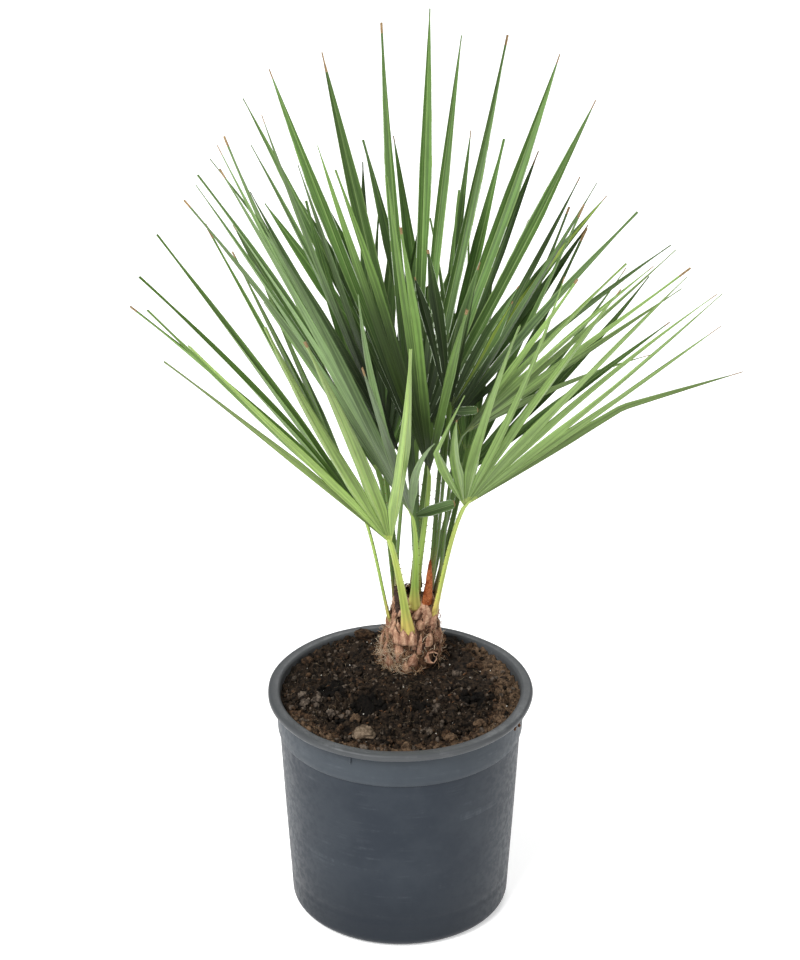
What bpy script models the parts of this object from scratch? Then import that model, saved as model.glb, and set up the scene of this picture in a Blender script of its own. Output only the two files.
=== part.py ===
"""Potted European fan palm: a young palm in a round nursery pot, at its real size.

Metres, +Z up, +Y away from the viewer. The origin is the middle of the pot's flat underside.
The crown is worked out frond by frond: a stalk rises from the trunk to a "hand", and the
leaflets of the fan spread from the hand by one rule, in the order of the FRONDS list.
"""

import math
from collections import namedtuple

import bmesh
import bpy
import numpy as np
from mathutils import Matrix, noise
from mathutils.bvhtree import BVHTree

# Gap kept wherever one solid meets another, and how close two corners are to count as one
GAP = 0.0003
WELD = 0.00001

# The pot: a turned shell with a rolled lip, an upper band and a rounded foot
POT_HEIGHT = 0.215
LIP_RADIUS = 0.120
LIP_DEPTH = 0.0070
LIP_CORNER = 0.0032
BAND_TOP_RADIUS = 0.1120
BAND_FOOT_RADIUS = 0.1102
BAND_FOOT_Z = 0.178
BAND_CHAMFER = 0.0010
BODY_TOP_RADIUS = 0.1085
BODY_FOOT_RADIUS = 0.0985
FOOT_CORNER = 0.010
POT_WALL = 0.0030
POT_SIDES = 48
DRAIN_HOLES = 8
DRAIN_SIDES = 12
DRAIN_RADIUS = 0.006
DRAIN_CIRCLE = 0.070

# The soil fills the pot to just under the lip and rises a little round the trunk
SOIL_EDGE_Z = 0.204
SOIL_MOUND_Z = 0.212
SOIL_PLATEAU = 0.040
SOIL_SLOPE = 0.080
SOIL_LUMPS = 0.0040
SOIL_LUMP_RATE = 45
SOIL_RINGS = 6

# The trunk stands behind the middle of the pot
TRUNK_X = 0.009
TRUNK_Y = 0.056
TRUNK_FOOT_Z = SOIL_MOUND_Z + GAP
TRUNK_LEAN = 0.08
TRUNK_SIDES = 14
TRUNK_TIP = 0.0006
# (height over the soil, radius): flared foot, waist, and the domed top that the stalks leave
TRUNK_PROFILE = (
    (0.000, 0.0255),
    (0.008, 0.0275),
    (0.020, 0.0265),
    (0.036, 0.0228),
    (0.052, 0.0200),
    (0.064, 0.0175),
    (0.074, 0.0115),
    (0.078, 0.0040),
)
# Old leaf bases: (height, how many) for each row round the trunk, by how many degrees a metre
# of height turns a row, and the size of one
BOOT_ROWS = ((0.016, 9), (0.029, 9), (0.042, 7))
BOOT_TURN = 9000
BOOT_SIDES = 6
BOOT_LENGTH = 0.020
BOOT_WIDTH = 0.014
BOOT_TIP_WIDTH = 0.004
BOOT_DEPTH = 0.007
BOOT_SINK = 0.0005
BOOT_FLARE = 0.12
# Height over and under a leaf base between which the trunk's slope is measured
SLOPE_REACH = 0.01
# A hollow stub where an offshoot was cut, low on the trunk's front: (radius, height)
STUB_PROFILE = (
    (0.0, 0.006),
    (0.0028, 0.006),
    (0.0032, 0.010),
    (0.0045, 0.010),
    (0.0055, 0.0),
    (0.0, 0.0),
)
STUB_SIDES = 10
STUB_HEIGHT = 0.022
STUB_BEARING = -45
STUB_TILT = 70

# Stalks: thick at the foot, round, and slender at the hand
STALK_HAND_RADIUS = 0.0028
STALK_STATIONS = 7
STALK_SINK = 0.006
STALK_SPLAY = 0.25
STALK_END_GAP = 0.0014
# How far the foot and the hand rule a stalk's curve, as shares of its span, and how its
# radius falls from the foot
STALK_RISE_SHARE = 0.24
STALK_ARRIVE_SHARE = 0.20
STALK_TAPER = 1.3
# Limbs with no fan: name, ring and bearing of the foot, end, and radius at the foot and the end
SMALL_LIMBS = (
    ("spear", 0.0010, 90, (0.000, 0.074, 0.580), 0.0028, 0.0010),
    ("dry_sheath", 0.0130, -55, (0.0255, 0.036, 0.327), 0.0034, 0.0008),
    ("dead_stub", 0.0180, -140, (-0.003, 0.036, 0.298), 0.0024, 0.0010),
)

# Leaflets: V-folded blades that part from their neighbours at SPLIT_SHARE of the fan's reach
LEAFLET_HALF_WIDTH = 0.0062
LEAFLET_WIDEST = 0.64
LEAFLET_TAPER = 0.80
LEAFLET_FOLD = 0.40
LEAFLET_STATIONS = 4
ROOM_SHARE = 0.80
SPLIT_SHARE = 0.16
SIDE_SHORTENING = 0.12
UNEVENNESS = 0.10
# Leaflets stand in bunches, with this extra gap between two, in steps of the leaflets. Each
# one sways by up to these degrees, turned with its neighbours and lifted on its own
BUNCH_GAP = 1.2
SWAY_TURN = 2.0
SWAY_LIFT = 4.0
# Leaflets whose end broke off, or that grew on: their share of the rule's length, by fan and number
LENGTH_SHARES = {
    ("front_low", 2): 0.92,
    ("front_low", 4): 1.11,
    ("right_low", 0): 1.08,
    ("left_long", 1): 0.85,
    ("left_long", 10): 0.80,
    ("left_low", 2): 0.90,
    ("back_tall", 4): 0.985,
    ("back_tall", 6): 0.945,
    ("back_tall", 7): 0.96,
    ("right_low", 8): 0.70,
    ("right_low", 9): 0.76,
}
# Leaflets that kinked: where in their free part, and by how many degrees they turn there
KINKED = {("right_low", 0): (0.45, -32), ("right_low", 9): (0.5, -30)}
# Thickness of the blade as a share of the fan's reach, and its least value
BLADE_THICKNESS_SHARE = 0.0105
BLADE_THICKNESS_LEAST = 0.0030
SEED = 7
# A leaflet that meets something is turned or lifted by these degrees, or cut to these shares
TURNS = (0, 2, -2, 4, -4, 7, -7)
LIFTS = (0, 3, -3, 6, -6, 9, -9)
CUTS = (1.0, 0.6, 0.35)
CLEARANCE = 0.0006

# The fronds, those that the viewer sees first in front. ring, foot_bearing: how far out on the
# trunk's top, and on which side, the stalk stands; stalk: its radius there; hand: where it
# ends; bearing, rise, roll: the fan's axis, in degrees from +X and over the horizon, and the
# fan's turn about it; first, last: the fan's two sides, in degrees from that axis; reach: length
# of the longest leaflet; droop: share of it by which the tips fall; bunches: how many leaflets
# stand together, from the first side to the last
Frond = namedtuple(
    "Frond", "name ring foot_bearing stalk hand bearing rise roll first last reach droop bunches"
)
FRONDS = (
    Frond("front_low", 0.0214, -104, 0.0052, (-0.008, -0.030, 0.377), -112, 55, -7,
          -19, 22, 0.388, 0.03, (1, 0, 1, 1, 2)),
    Frond("left_long", 0.0155, -95, 0.0046, (0.011, 0.020, 0.378), 149, 55, -46,
          -74, 36, 0.415, 0.03, (1, 2, 1, 3, 1, 2, 1)),
    Frond("right_low", 0.0192, -32, 0.0034, (0.057, 0.020, 0.388), -8, 51, 40,
          -34, 64, 0.325, 0.03, (3, 2, 2, 1, 2)),
    Frond("left_low", 0.0210, 185, 0.0027, (-0.034, 0.060, 0.362), 174, 51, -4,
          -20, 62, 0.345, 0.03, (2, 1, 1, 0, 4)),
    Frond("young_middle", 0.0070, -90, 0.0030, (0.026, 0.050, 0.405), -116, 73, 38,
          -27, 37, 0.365, 0.02, (1, 2, 1, 2)),
    Frond("young_short", 0.0105, -20, 0.0026, (0.043, 0.040, 0.471), 60, 78, 0,
          -25, 30, 0.150, 0.00, (2, 1, 2)),
    Frond("right_old", 0.0165, -5, 0.0036, (0.056, 0.080, 0.429), 8, 42, 40,
          -50, 38, 0.275, 0.03, (1, 2, 1, 1, 2)),
    Frond("left_high", 0.0145, 190, 0.0032, (0.001, 0.050, 0.422), 159, 62, -15,
          -22, 28, 0.340, 0.03, (2, 1, 2, 1)),
    Frond("right_high", 0.0125, 35, 0.0034, (0.042, 0.071, 0.439), 50, 42, 25,
          -20, 45, 0.290, 0.03, (1, 2, 1, 2)),
    Frond("back_tall", 0.0095, 90, 0.0040, (0.0145, 0.092, 0.409), 84, 65, -10,
          -29, 31, 0.425, 0.03, (2, 1, 1, 2, 1, 1, 2)),
    Frond("back_shaded", 0.0150, 95, 0.0034, (0.028, 0.128, 0.408), 88, 68, 0,
          -40, 42, 0.300, 0.03, (3, 2, 3, 2)),
    Frond("inner_left", 0.0142, 150, 0.0032, (-0.014, 0.104, 0.386), 116, 69, 0,
          -34, 34, 0.280, 0.02, (2, 3, 3)),
    Frond("inner_right", 0.0175, 25, 0.0032, (0.060, 0.108, 0.392), 66, 70, 0,
          -34, 34, 0.270, 0.02, (3, 2, 3)),
    Frond("back_left", 0.0205, 135, 0.0036, (-0.018, 0.130, 0.360), 124, 48, 0,
          -38, 50, 0.300, 0.04, (3, 2, 3, 2)),
    Frond("back_right", 0.0205, 58, 0.0036, (0.052, 0.132, 0.355), 62, 47, 0,
          -44, 40, 0.290, 0.04, (2, 3, 2, 3)),
)


def unit(vector):
    return vector / np.linalg.norm(vector)


def heading(bearing, rise):
    """The unit vector that points along a bearing, raised over the horizon."""
    turn, lift = math.radians(bearing), math.radians(rise)
    return np.array(
        [math.cos(turn) * math.cos(lift), math.sin(turn) * math.cos(lift), math.sin(lift)]
    )


def fan_axes(frond):
    """(aim, side, up) of a fan: along its middle leaflet, across it, and out of its upper side."""
    aim = heading(frond.bearing, frond.rise)
    level = unit(np.cross(aim, (0.0, 0.0, 1.0)))
    over = np.cross(level, aim)
    roll = math.radians(frond.roll)
    side = math.cos(roll) * level + math.sin(roll) * over
    return aim, side, np.cross(side, aim)


def leaflet_angles(frond):
    """Angles from the fan's axis, in radians: of the ribs, of the pleats between them, and the step."""
    places, place = [], 0.5
    for bunch in frond.bunches:
        places += [place + k for k in range(bunch)]
        place += bunch + BUNCH_GAP
    step = math.radians(frond.last - frond.first) / (places[-1] + 0.5)
    ribs = [math.radians(frond.first) + step * place for place in places]
    pleats = [(here + there) / 2 for here, there in zip(ribs, ribs[1:])]
    return ribs, [ribs[0] - step / 2] + pleats + [ribs[-1] + step / 2], step


def leaflet_lengths(frond):
    """Length of each leaflet: shorter towards the fan's sides, with a seeded unevenness."""
    rng = np.random.default_rng(SEED + FRONDS.index(frond))
    count = sum(frond.bunches)
    across = np.linspace(-1, 1, count)
    uneven = rng.uniform(1 - UNEVENNESS, 1, count)
    left = [LENGTH_SHARES.get((frond.name, index), 1.0) for index in range(count)]
    return frond.reach * (1 - SIDE_SHORTENING * across**2) * uneven * left


def leaflet_sway(frond):
    """(turn, lift) of each leaflet in degrees: a bunch turns as one, each leaflet lifts by itself."""
    rng = np.random.default_rng(SEED * len(FRONDS) + FRONDS.index(frond))
    sway = []
    for bunch in frond.bunches:
        turn = rng.uniform(-SWAY_TURN, SWAY_TURN)
        sway += [(turn, rng.uniform(-SWAY_LIFT, SWAY_LIFT)) for _ in range(bunch)]
    return sway


def rib_point(frond, angle, along, rise=0.0):
    """(point, across) at a distance from the hand, on a line at an angle from the fan's axis."""
    aim, side, up = fan_axes(frond)
    ahead = math.cos(angle) * aim + math.sin(angle) * side
    across = math.cos(angle) * side - math.sin(angle) * aim
    point = np.array(frond.hand) + ahead * along + up * (along * rise)
    point[2] -= frond.droop * frond.reach * (along / frond.reach) ** 2
    return point, across


def leaflet_point(frond, index, free, turn, lift):
    """(point, across, along) on a leaflet's rib at a share of its free part."""
    start = SPLIT_SHARE * frond.reach
    loose = leaflet_lengths(frond)[index] - start
    kink_at, kink = KINKED.get((frond.name, index), (1.0, 0.0))
    whole = min(free, kink_at)
    angle = leaflet_angles(frond)[0][index] + math.radians(turn) * whole
    point, across = rib_point(frond, angle, start + loose * whole, math.radians(lift) * whole)
    if free > kink_at:
        aim, side, _ = fan_axes(frond)
        angle += math.radians(kink)
        across = math.cos(angle) * side - math.sin(angle) * aim
        point = point + (math.cos(angle) * aim + math.sin(angle) * side) * loose * (free - kink_at)
    return point, across, start + loose * free


def half_width(along, length, step):
    """Half of a leaflet's width at a distance from the hand."""
    share = min(1.0, along / length)
    taper = min(1.0, (1 - share) / (1 - LEAFLET_WIDEST)) ** LEAFLET_TAPER
    return min(LEAFLET_HALF_WIDTH * taper, ROOM_SHARE * along * step / 2)


def leaflet_rows(frond, index, turn=0.0, lift=0.0, cut=1.0):
    """Rows of (left edge, rib, right edge) along the free part of one leaflet.

    The first row is the one that it shares with its neighbours. turn and lift, in degrees, bend
    the free part sideways and upwards, and cut is the share of the free part that is left.
    """
    up = fan_axes(frond)[2]
    ribs, pleats, step = leaflet_angles(frond)
    length = leaflet_lengths(frond)[index]
    start = SPLIT_SHARE * frond.reach
    crease = up * (LEAFLET_FOLD * math.tan(step / 2) * start / 2)
    angles = (pleats[index], ribs[index], pleats[index + 1])
    left, rib, right = (rib_point(frond, angle, start)[0] for angle in angles)
    rows = [(left + crease, rib - crease, right + crease)]
    for k in range(1, LEAFLET_STATIONS + 1):
        middle, across, along = leaflet_point(frond, index, cut * k / LEAFLET_STATIONS, turn, lift)
        half = half_width(along, length, step)
        crease = up * (LEAFLET_FOLD * half / 2)
        rows.append((middle - across * half + crease, middle - crease, middle + across * half + crease))
    return rows


def axis_point(height):
    """Middle of the leaning trunk at a height over its foot."""
    return np.array([TRUNK_X + TRUNK_LEAN * height, TRUNK_Y, TRUNK_FOOT_Z + height])


def foot_point(ring, bearing):
    """Point on the trunk's top, at a distance from its axis and on one side of it."""
    heights, radii = zip(*TRUNK_PROFILE[1:])
    height = np.interp(-ring, [-radius for radius in radii], heights)
    turn = math.radians(bearing)
    return axis_point(height) + ring * np.array([math.cos(turn), math.sin(turn), 0.0])


def limb_line(ring, bearing, end, aim, stations=STALK_STATIONS):
    """Points from inside the trunk's top to a limb's end, which it nears half along aim."""
    foot = foot_point(ring, bearing) - np.array([0.0, 0.0, STALK_SINK])
    end = np.array(end)
    span = np.linalg.norm(end - foot)
    turn = math.radians(bearing)
    leave = unit(np.array([STALK_SPLAY * math.cos(turn), STALK_SPLAY * math.sin(turn), 1.0]))
    arrive = unit(aim + unit(end - foot))
    first = foot + leave * span * STALK_RISE_SHARE
    second = end - arrive * span * STALK_ARRIVE_SHARE
    shares = [k / stations for k in range(stations + 1)]
    return [
        (1 - t) ** 3 * foot + 3 * (1 - t) ** 2 * t * first + 3 * (1 - t) * t**2 * second + t**3 * end
        for t in shares
    ]


def stalk_line(frond):
    """Centre line of a frond's stalk, which stops just short of the hand."""
    aim = fan_axes(frond)[0]
    end = np.array(frond.hand) - aim * STALK_END_GAP
    return limb_line(frond.ring, frond.foot_bearing, end, aim)


def stalk_radii(foot_radius, end_radius, stations=STALK_STATIONS):
    """A limb's radius at each station, most of its taper near the foot."""
    more = foot_radius - end_radius
    return [end_radius + more * (1 - k / stations) ** STALK_TAPER for k in range(stations + 1)]


# Plain shells of the limbs and leaflets, with room around them, to find where two would touch


def tube_shell(points, radii, room, sides=6):
    """Vertices and faces of a closed tube around a line."""
    points = np.array(points)
    ahead = np.gradient(points, axis=0)
    vertices, faces = [], []
    for k, (point, direction, radius) in enumerate(zip(points, ahead, radii)):
        first = unit(np.cross(direction, (0.0, 1.0, 0.2)))
        second = unit(np.cross(direction, first))
        for side in range(sides):
            turn = math.tau * side / sides
            vertices.append(point + (radius + room) * (math.cos(turn) * first + math.sin(turn) * second))
            if k:
                here, left = k * sides + side, k * sides + (side + 1) % sides
                faces.append((here - sides, left - sides, left, here))
    faces.append(tuple(range(sides)))
    faces.append(tuple(range(len(vertices) - sides, len(vertices))))
    return vertices, faces


def leaflet_shell(rows, up, half_thickness, room):
    """Vertices and faces of the blade round a leaflet's rows, open where it joins the fan."""
    vertices, faces = [], []
    wide = unit(rows[0][2] - rows[0][0]) * room
    for k, (left, rib, right) in enumerate(rows):
        for point in (left - wide, rib, right + wide):
            vertices.append(point + up * (half_thickness + room))
        for point in (right + wide, rib, left - wide):
            vertices.append(point - up * (half_thickness + room))
        if k:
            for side in range(6):
                here, there = 6 * k + side, 6 * k + (side + 1) % 6
                faces.append((here - 6, there - 6, there, here))
    faces.append(tuple(range(len(vertices) - 6, len(vertices))))
    return vertices, faces


def palm_shell(frond):
    """Vertices and faces of the top and underside of a fan's undivided middle."""
    up = fan_axes(frond)[2]
    vertices, faces = [], []
    for index in range(sum(frond.bunches)):
        left, rib, right = leaflet_rows(frond, index)[0]
        for shift in (up, -up):
            shift = shift * (blade_thickness(frond) / 2 + CLEARANCE)
            start = len(vertices)
            vertices += [np.array(frond.hand) + shift, left + shift, rib + shift, right + shift]
            faces += [(start, start + 1, start + 2), (start, start + 2, start + 3)]
    return vertices, faces


def blade_thickness(frond):
    return max(BLADE_THICKNESS_LEAST, BLADE_THICKNESS_SHARE * frond.reach)


def bvh(shells):
    """One search tree over several shells."""
    vertices, faces = [], []
    for more_vertices, more_faces in shells:
        start = len(vertices)
        vertices += [tuple(vertex) for vertex in more_vertices]
        faces += [tuple(index + start for index in face) for face in more_faces]
    return BVHTree.FromPolygons(vertices, faces)


def place_leaflets(fixed):
    """For each frond the (turn, lift, cut) of its leaflets, or None where one is left out.

    fixed holds the shells that are there already. The rule bends a leaflet from its sway by the
    least that leaves it clear of the stalks, the other fans and its neighbours.
    """
    trials = [(turn, lift, cut) for cut in CUTS for lift in LIFTS for turn in TURNS]
    trials.sort(key=lambda trial: (-trial[2], abs(trial[0]) + abs(trial[1])))
    others = list(fixed)
    result = []
    for frond in FRONDS:
        up = fan_axes(frond)[2]
        thickness = blade_thickness(frond)
        around = bvh(others)
        own, bends = [], []
        for index, (sway_turn, sway_lift) in enumerate(leaflet_sway(frond)):
            chosen = None
            beside = bvh(own) if own else None
            for turn, lift, cut in trials:
                bend = (sway_turn + turn, sway_lift + lift, cut)
                rows = leaflet_rows(frond, index, *bend)
                whole = leaflet_shell(rows, up, thickness / 2, CLEARANCE)
                if bvh([whole]).overlap(around):
                    continue
                free = leaflet_shell(rows[1:], up, thickness / 2, CLEARANCE / 2)
                if beside and bvh([free]).overlap(beside):
                    continue
                chosen = bend
                own.append(free)
                others.append(whole)
                break
            bends.append(chosen)
        result.append(bends)
    return result


def clear_scene():
    for obj in list(bpy.data.objects):
        bpy.data.objects.remove(obj)


def make_collection(name):
    collection = bpy.data.collections.new(name)
    bpy.context.scene.collection.children.link(collection)
    return collection


def make_material(name, colour, roughness):
    material = bpy.data.materials.new(name)
    material.use_nodes = True
    shader = material.node_tree.nodes["Principled BSDF"]
    shader.inputs["Base Color"].default_value = (*colour, 1.0)
    shader.inputs["Roughness"].default_value = roughness
    return material


def add_object(name, data, material, collection):
    """Link an object for a mesh or a curve. Cutters have no material and don't render."""
    obj = bpy.data.objects.new(name, data)
    collection.objects.link(obj)
    if material:
        data.materials.append(material)
    else:
        obj.hide_render = True
        obj.display_type = "WIRE"
    return obj


def made_mesh(obj, collection):
    """Put a plain mesh object of the evaluated shape in the place of an object."""
    evaluated = obj.evaluated_get(bpy.context.evaluated_depsgraph_get())
    mesh = bpy.data.meshes.new_from_object(evaluated)
    name, place = obj.name, obj.matrix_world.copy()
    hidden, display = obj.hide_render, obj.display_type
    bpy.data.objects.remove(obj)
    plain = bpy.data.objects.new(name, mesh)
    plain.matrix_world = place
    plain.hide_render = hidden
    plain.display_type = display
    collection.objects.link(plain)
    shape = bmesh.new()
    shape.from_mesh(mesh)
    bmesh.ops.remove_doubles(shape, verts=shape.verts, dist=WELD)
    shape.to_mesh(mesh)
    shape.free()
    return plain


def arc(centre_radius, centre_z, radius, first, last, steps):
    """Points of (radius, z) on an arc, by its angles in degrees."""
    turns = [math.radians(first + (last - first) * k / steps) for k in range(steps + 1)]
    return [(centre_radius + radius * math.cos(t), centre_z + radius * math.sin(t)) for t in turns]


def turned(name, profile, sides, material, collection):
    """A shape turned about Z from points of (radius, z), outer side from the top down."""
    mesh = bpy.data.meshes.new(name)
    mesh.from_pydata([(r, 0.0, z) for r, z in profile], [(k, k + 1) for k in range(len(profile) - 1)], [])
    obj = add_object(name, mesh, material, collection)
    screw = obj.modifiers.new("Turn", "SCREW")
    screw.steps = sides
    screw.render_steps = sides
    screw.use_merge_vertices = True
    screw.merge_threshold = 0.0001
    return obj


def cut_by(obj, cutter):
    boolean = obj.modifiers.new(cutter.name, "BOOLEAN")
    boolean.operation = "DIFFERENCE"
    boolean.object = cutter


# The pot and what is in it


def inner_wall(gap):
    """Inside of the pot's wall from the floor up, as (radius, z), moved inwards by a gap."""
    corner = FOOT_CORNER - POT_WALL
    floor = POT_WALL + gap
    foot = arc(BODY_FOOT_RADIUS - POT_WALL - corner, POT_WALL + corner, corner - gap, -90, 0, 3)
    return [(0.0, floor)] + foot + [
        (BODY_TOP_RADIUS - POT_WALL - gap, BAND_FOOT_Z - POT_WALL),
        (BAND_FOOT_RADIUS - POT_WALL - gap, BAND_FOOT_Z),
    ]


def make_pot(material, parts, cutters):
    lip_top, lip_foot = POT_HEIGHT, POT_HEIGHT - LIP_DEPTH
    inside = BAND_TOP_RADIUS - POT_WALL
    profile = inner_wall(0.0)
    profile += arc(inside + LIP_CORNER, lip_top - LIP_CORNER, LIP_CORNER, 180, 90, 3)
    profile += arc(LIP_RADIUS - LIP_CORNER, lip_top - LIP_CORNER, LIP_CORNER, 90, 0, 3)
    profile += arc(LIP_RADIUS - LIP_CORNER, lip_foot + LIP_CORNER, LIP_CORNER, 0, -90, 2)
    profile += [
        (BAND_TOP_RADIUS, lip_foot),
        (BAND_FOOT_RADIUS, BAND_FOOT_Z),
        (BODY_TOP_RADIUS, BAND_FOOT_Z - BAND_CHAMFER),
    ]
    profile += arc(BODY_FOOT_RADIUS - FOOT_CORNER, FOOT_CORNER, FOOT_CORNER, 0, -90, 4)
    profile += [(0.0, 0.0)]
    pot = turned("pot", profile, POT_SIDES, material, parts)
    holes = bmesh.new()
    for k in range(DRAIN_HOLES):
        turn = math.tau * (k + 0.5) / DRAIN_HOLES
        place = Matrix.Translation((DRAIN_CIRCLE * math.cos(turn), DRAIN_CIRCLE * math.sin(turn), 0.0))
        bmesh.ops.create_cone(
            holes, cap_ends=True, segments=DRAIN_SIDES, radius1=DRAIN_RADIUS,
            radius2=DRAIN_RADIUS, depth=4 * POT_WALL, matrix=place,
        )
    mesh = bpy.data.meshes.new("drain_holes")
    holes.to_mesh(mesh)
    holes.free()
    cut_by(pot, add_object("drain_holes", mesh, None, cutters))


def soil_height(x, y):
    """Height of the soil: a mound round the trunk, with shallow lumps elsewhere."""
    away = math.hypot(x - TRUNK_X, y - TRUNK_Y)
    share = min(1.0, max(0.0, (away - SOIL_PLATEAU) / SOIL_SLOPE))
    mound = SOIL_MOUND_Z - SOIL_EDGE_Z
    lumps = SOIL_LUMPS * noise.noise((x * SOIL_LUMP_RATE, y * SOIL_LUMP_RATE, 0.0))
    height = SOIL_EDGE_Z + mound * (1 - share * share * (3 - 2 * share)) + lumps * share
    return min(SOIL_MOUND_Z, height)


def make_soil(material, parts):
    wall = inner_wall(GAP)
    slope = (BAND_TOP_RADIUS - BAND_FOOT_RADIUS) / (POT_HEIGHT - BAND_FOOT_Z)
    rim = (wall[-1][0] + slope * (SOIL_EDGE_Z - BAND_FOOT_Z) - GAP, SOIL_EDGE_Z)
    rings = [(rim[0] * k / SOIL_RINGS, SOIL_EDGE_Z) for k in range(SOIL_RINGS)]
    soil = made_mesh(turned("soil", rings + [rim] + wall[::-1], POT_SIDES, material, parts), parts)
    for vertex in soil.data.vertices:
        if vertex.co.z > SOIL_EDGE_Z - GAP:
            vertex.co.z = soil_height(vertex.co.x, vertex.co.y)


# The trunk and what grows from it


def lean(mesh):
    """Shear a mesh that stands on the trunk's foot into the trunk's lean."""
    for vertex in mesh.vertices:
        vertex.co.x += TRUNK_LEAN * (vertex.co.z - TRUNK_FOOT_Z)


def trunk_core(name, gap, material, collection):
    """The turned core of the trunk, or with a gap the cutter that keeps limbs clear of it."""
    outline = [(radius + gap, TRUNK_FOOT_Z + height + gap) for height, radius in TRUNK_PROFILE]
    top = (0.0, outline[-1][1] + TRUNK_TIP)
    core = turned(name, [top] + outline[::-1] + [(0.0, outline[0][1])], TRUNK_SIDES, material, collection)
    core = made_mesh(core, collection)
    for vertex in core.data.vertices:
        vertex.co.x += TRUNK_X
        vertex.co.y += TRUNK_Y
    lean(core.data)
    return core


def boot_matrix(height, bearing):
    """Place and turn of an old leaf base on the trunk: flat against it, its tip up."""
    heights, radii = zip(*TRUNK_PROFILE)
    radius = np.interp(height, heights, radii)
    over, under = (np.interp(height + reach, heights, radii) for reach in (SLOPE_REACH, -SLOPE_REACH))
    slope = (over - under) / (2 * SLOPE_REACH)
    out = math.radians(bearing)
    place = axis_point(height) + (radius - BOOT_SINK) * np.array([math.cos(out), math.sin(out), 0.0])
    tilt = Matrix.Rotation(math.atan(slope) + BOOT_FLARE, 4, "Y")
    return Matrix.Translation(place) @ Matrix.Rotation(out, 4, "Z") @ tilt


def make_trunk(limb_shells, material, parts, cutters):
    """The core with its spiral of old leaf bases and a hollow cut stub fused on."""
    rng = np.random.default_rng(SEED)
    core = trunk_core("trunk", 0.0, material, parts)
    bases = make_collection("old_leaf_bases")
    limbs = bvh(limb_shells)
    for height, count in BOOT_ROWS:
        for k in range(count):
            bearing = 360 * (k + rng.uniform(-0.15, 0.15)) / count + height * BOOT_TURN
            size = rng.uniform(0.85, 1.15)
            place = boot_matrix(height + rng.uniform(-0.003, 0.003), bearing)
            shape = bmesh.new()
            bmesh.ops.create_cone(
                shape, cap_ends=True, segments=BOOT_SIDES,
                radius1=BOOT_WIDTH / 2, radius2=BOOT_TIP_WIDTH / 2, depth=BOOT_LENGTH,
                matrix=place @ Matrix.Diagonal((BOOT_DEPTH / BOOT_WIDTH, size, size, 1)),
            )
            if BVHTree.FromBMesh(shape).overlap(limbs):
                shape.free()
                continue
            mesh = bpy.data.meshes.new("old_leaf_base")
            shape.to_mesh(mesh)
            shape.free()
            add_object("old_leaf_base", mesh, material, bases)
    stub = turned("cut_stub", STUB_PROFILE, STUB_SIDES, material, bases)
    tilt = Matrix.Rotation(math.radians(STUB_TILT), 4, "Y")
    stub.matrix_world = boot_matrix(STUB_HEIGHT, STUB_BEARING) @ tilt
    fuse = core.modifiers.new("Fuse", "BOOLEAN")
    fuse.operation = "UNION"
    fuse.operand_type = "COLLECTION"
    fuse.collection = bases
    bpy.context.view_layer.update()
    made_mesh(core, parts)
    for obj in list(bases.objects):
        bpy.data.objects.remove(obj)
    bpy.data.collections.remove(bases)


def make_limb(name, points, radii, core_cutter, material, parts):
    """A tapering round limb, cut off where it meets the trunk."""
    curve = bpy.data.curves.new(name, "CURVE")
    curve.dimensions = "3D"
    curve.bevel_depth = radii[0]
    curve.bevel_resolution = 2
    curve.use_fill_caps = True
    line = curve.splines.new("POLY")
    line.points.add(len(points) - 1)
    for point, place, radius in zip(line.points, points, radii):
        point.co = (*place, 1.0)
        point.radius = radius / radii[0]
    limb = made_mesh(add_object(name, curve, material, parts), parts)
    cut_by(limb, core_cutter)
    return limb


def make_fan(frond, bends, material, parts):
    """A fan: its pleated middle and its leaflets as one surface, thickened both ways."""
    shape = bmesh.new()
    leaflets = [leaflet_rows(frond, k, *(bend or (0, 0, 1))) for k, bend in enumerate(bends)]
    hand = shape.verts.new(frond.hand)
    edges = [shape.verts.new(rows[0][0]) for rows in leaflets]
    edges.append(shape.verts.new(leaflets[-1][0][2]))
    for k, rows in enumerate(leaflets):
        last = (edges[k], shape.verts.new(rows[0][1]), edges[k + 1])
        shape.faces.new((hand, last[1], last[0]))
        shape.faces.new((hand, last[2], last[1]))
        if bends[k] is None:
            continue
        for row in rows[1:-1]:
            here = tuple(shape.verts.new(point) for point in row)
            shape.faces.new((last[0], last[1], here[1], here[0]))
            shape.faces.new((last[1], last[2], here[2], here[1]))
            last = here
        tip = shape.verts.new(rows[-1][1])
        shape.faces.new((last[0], last[1], tip))
        shape.faces.new((last[1], last[2], tip))
    mesh = bpy.data.meshes.new(f"frond_{frond.name}")
    shape.to_mesh(mesh)
    shape.free()
    fan = add_object(f"frond_{frond.name}", mesh, material, parts)
    solid = fan.modifiers.new("Thickness", "SOLIDIFY")
    solid.thickness = blade_thickness(frond)
    solid.offset = 0.0
    return fan


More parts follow.
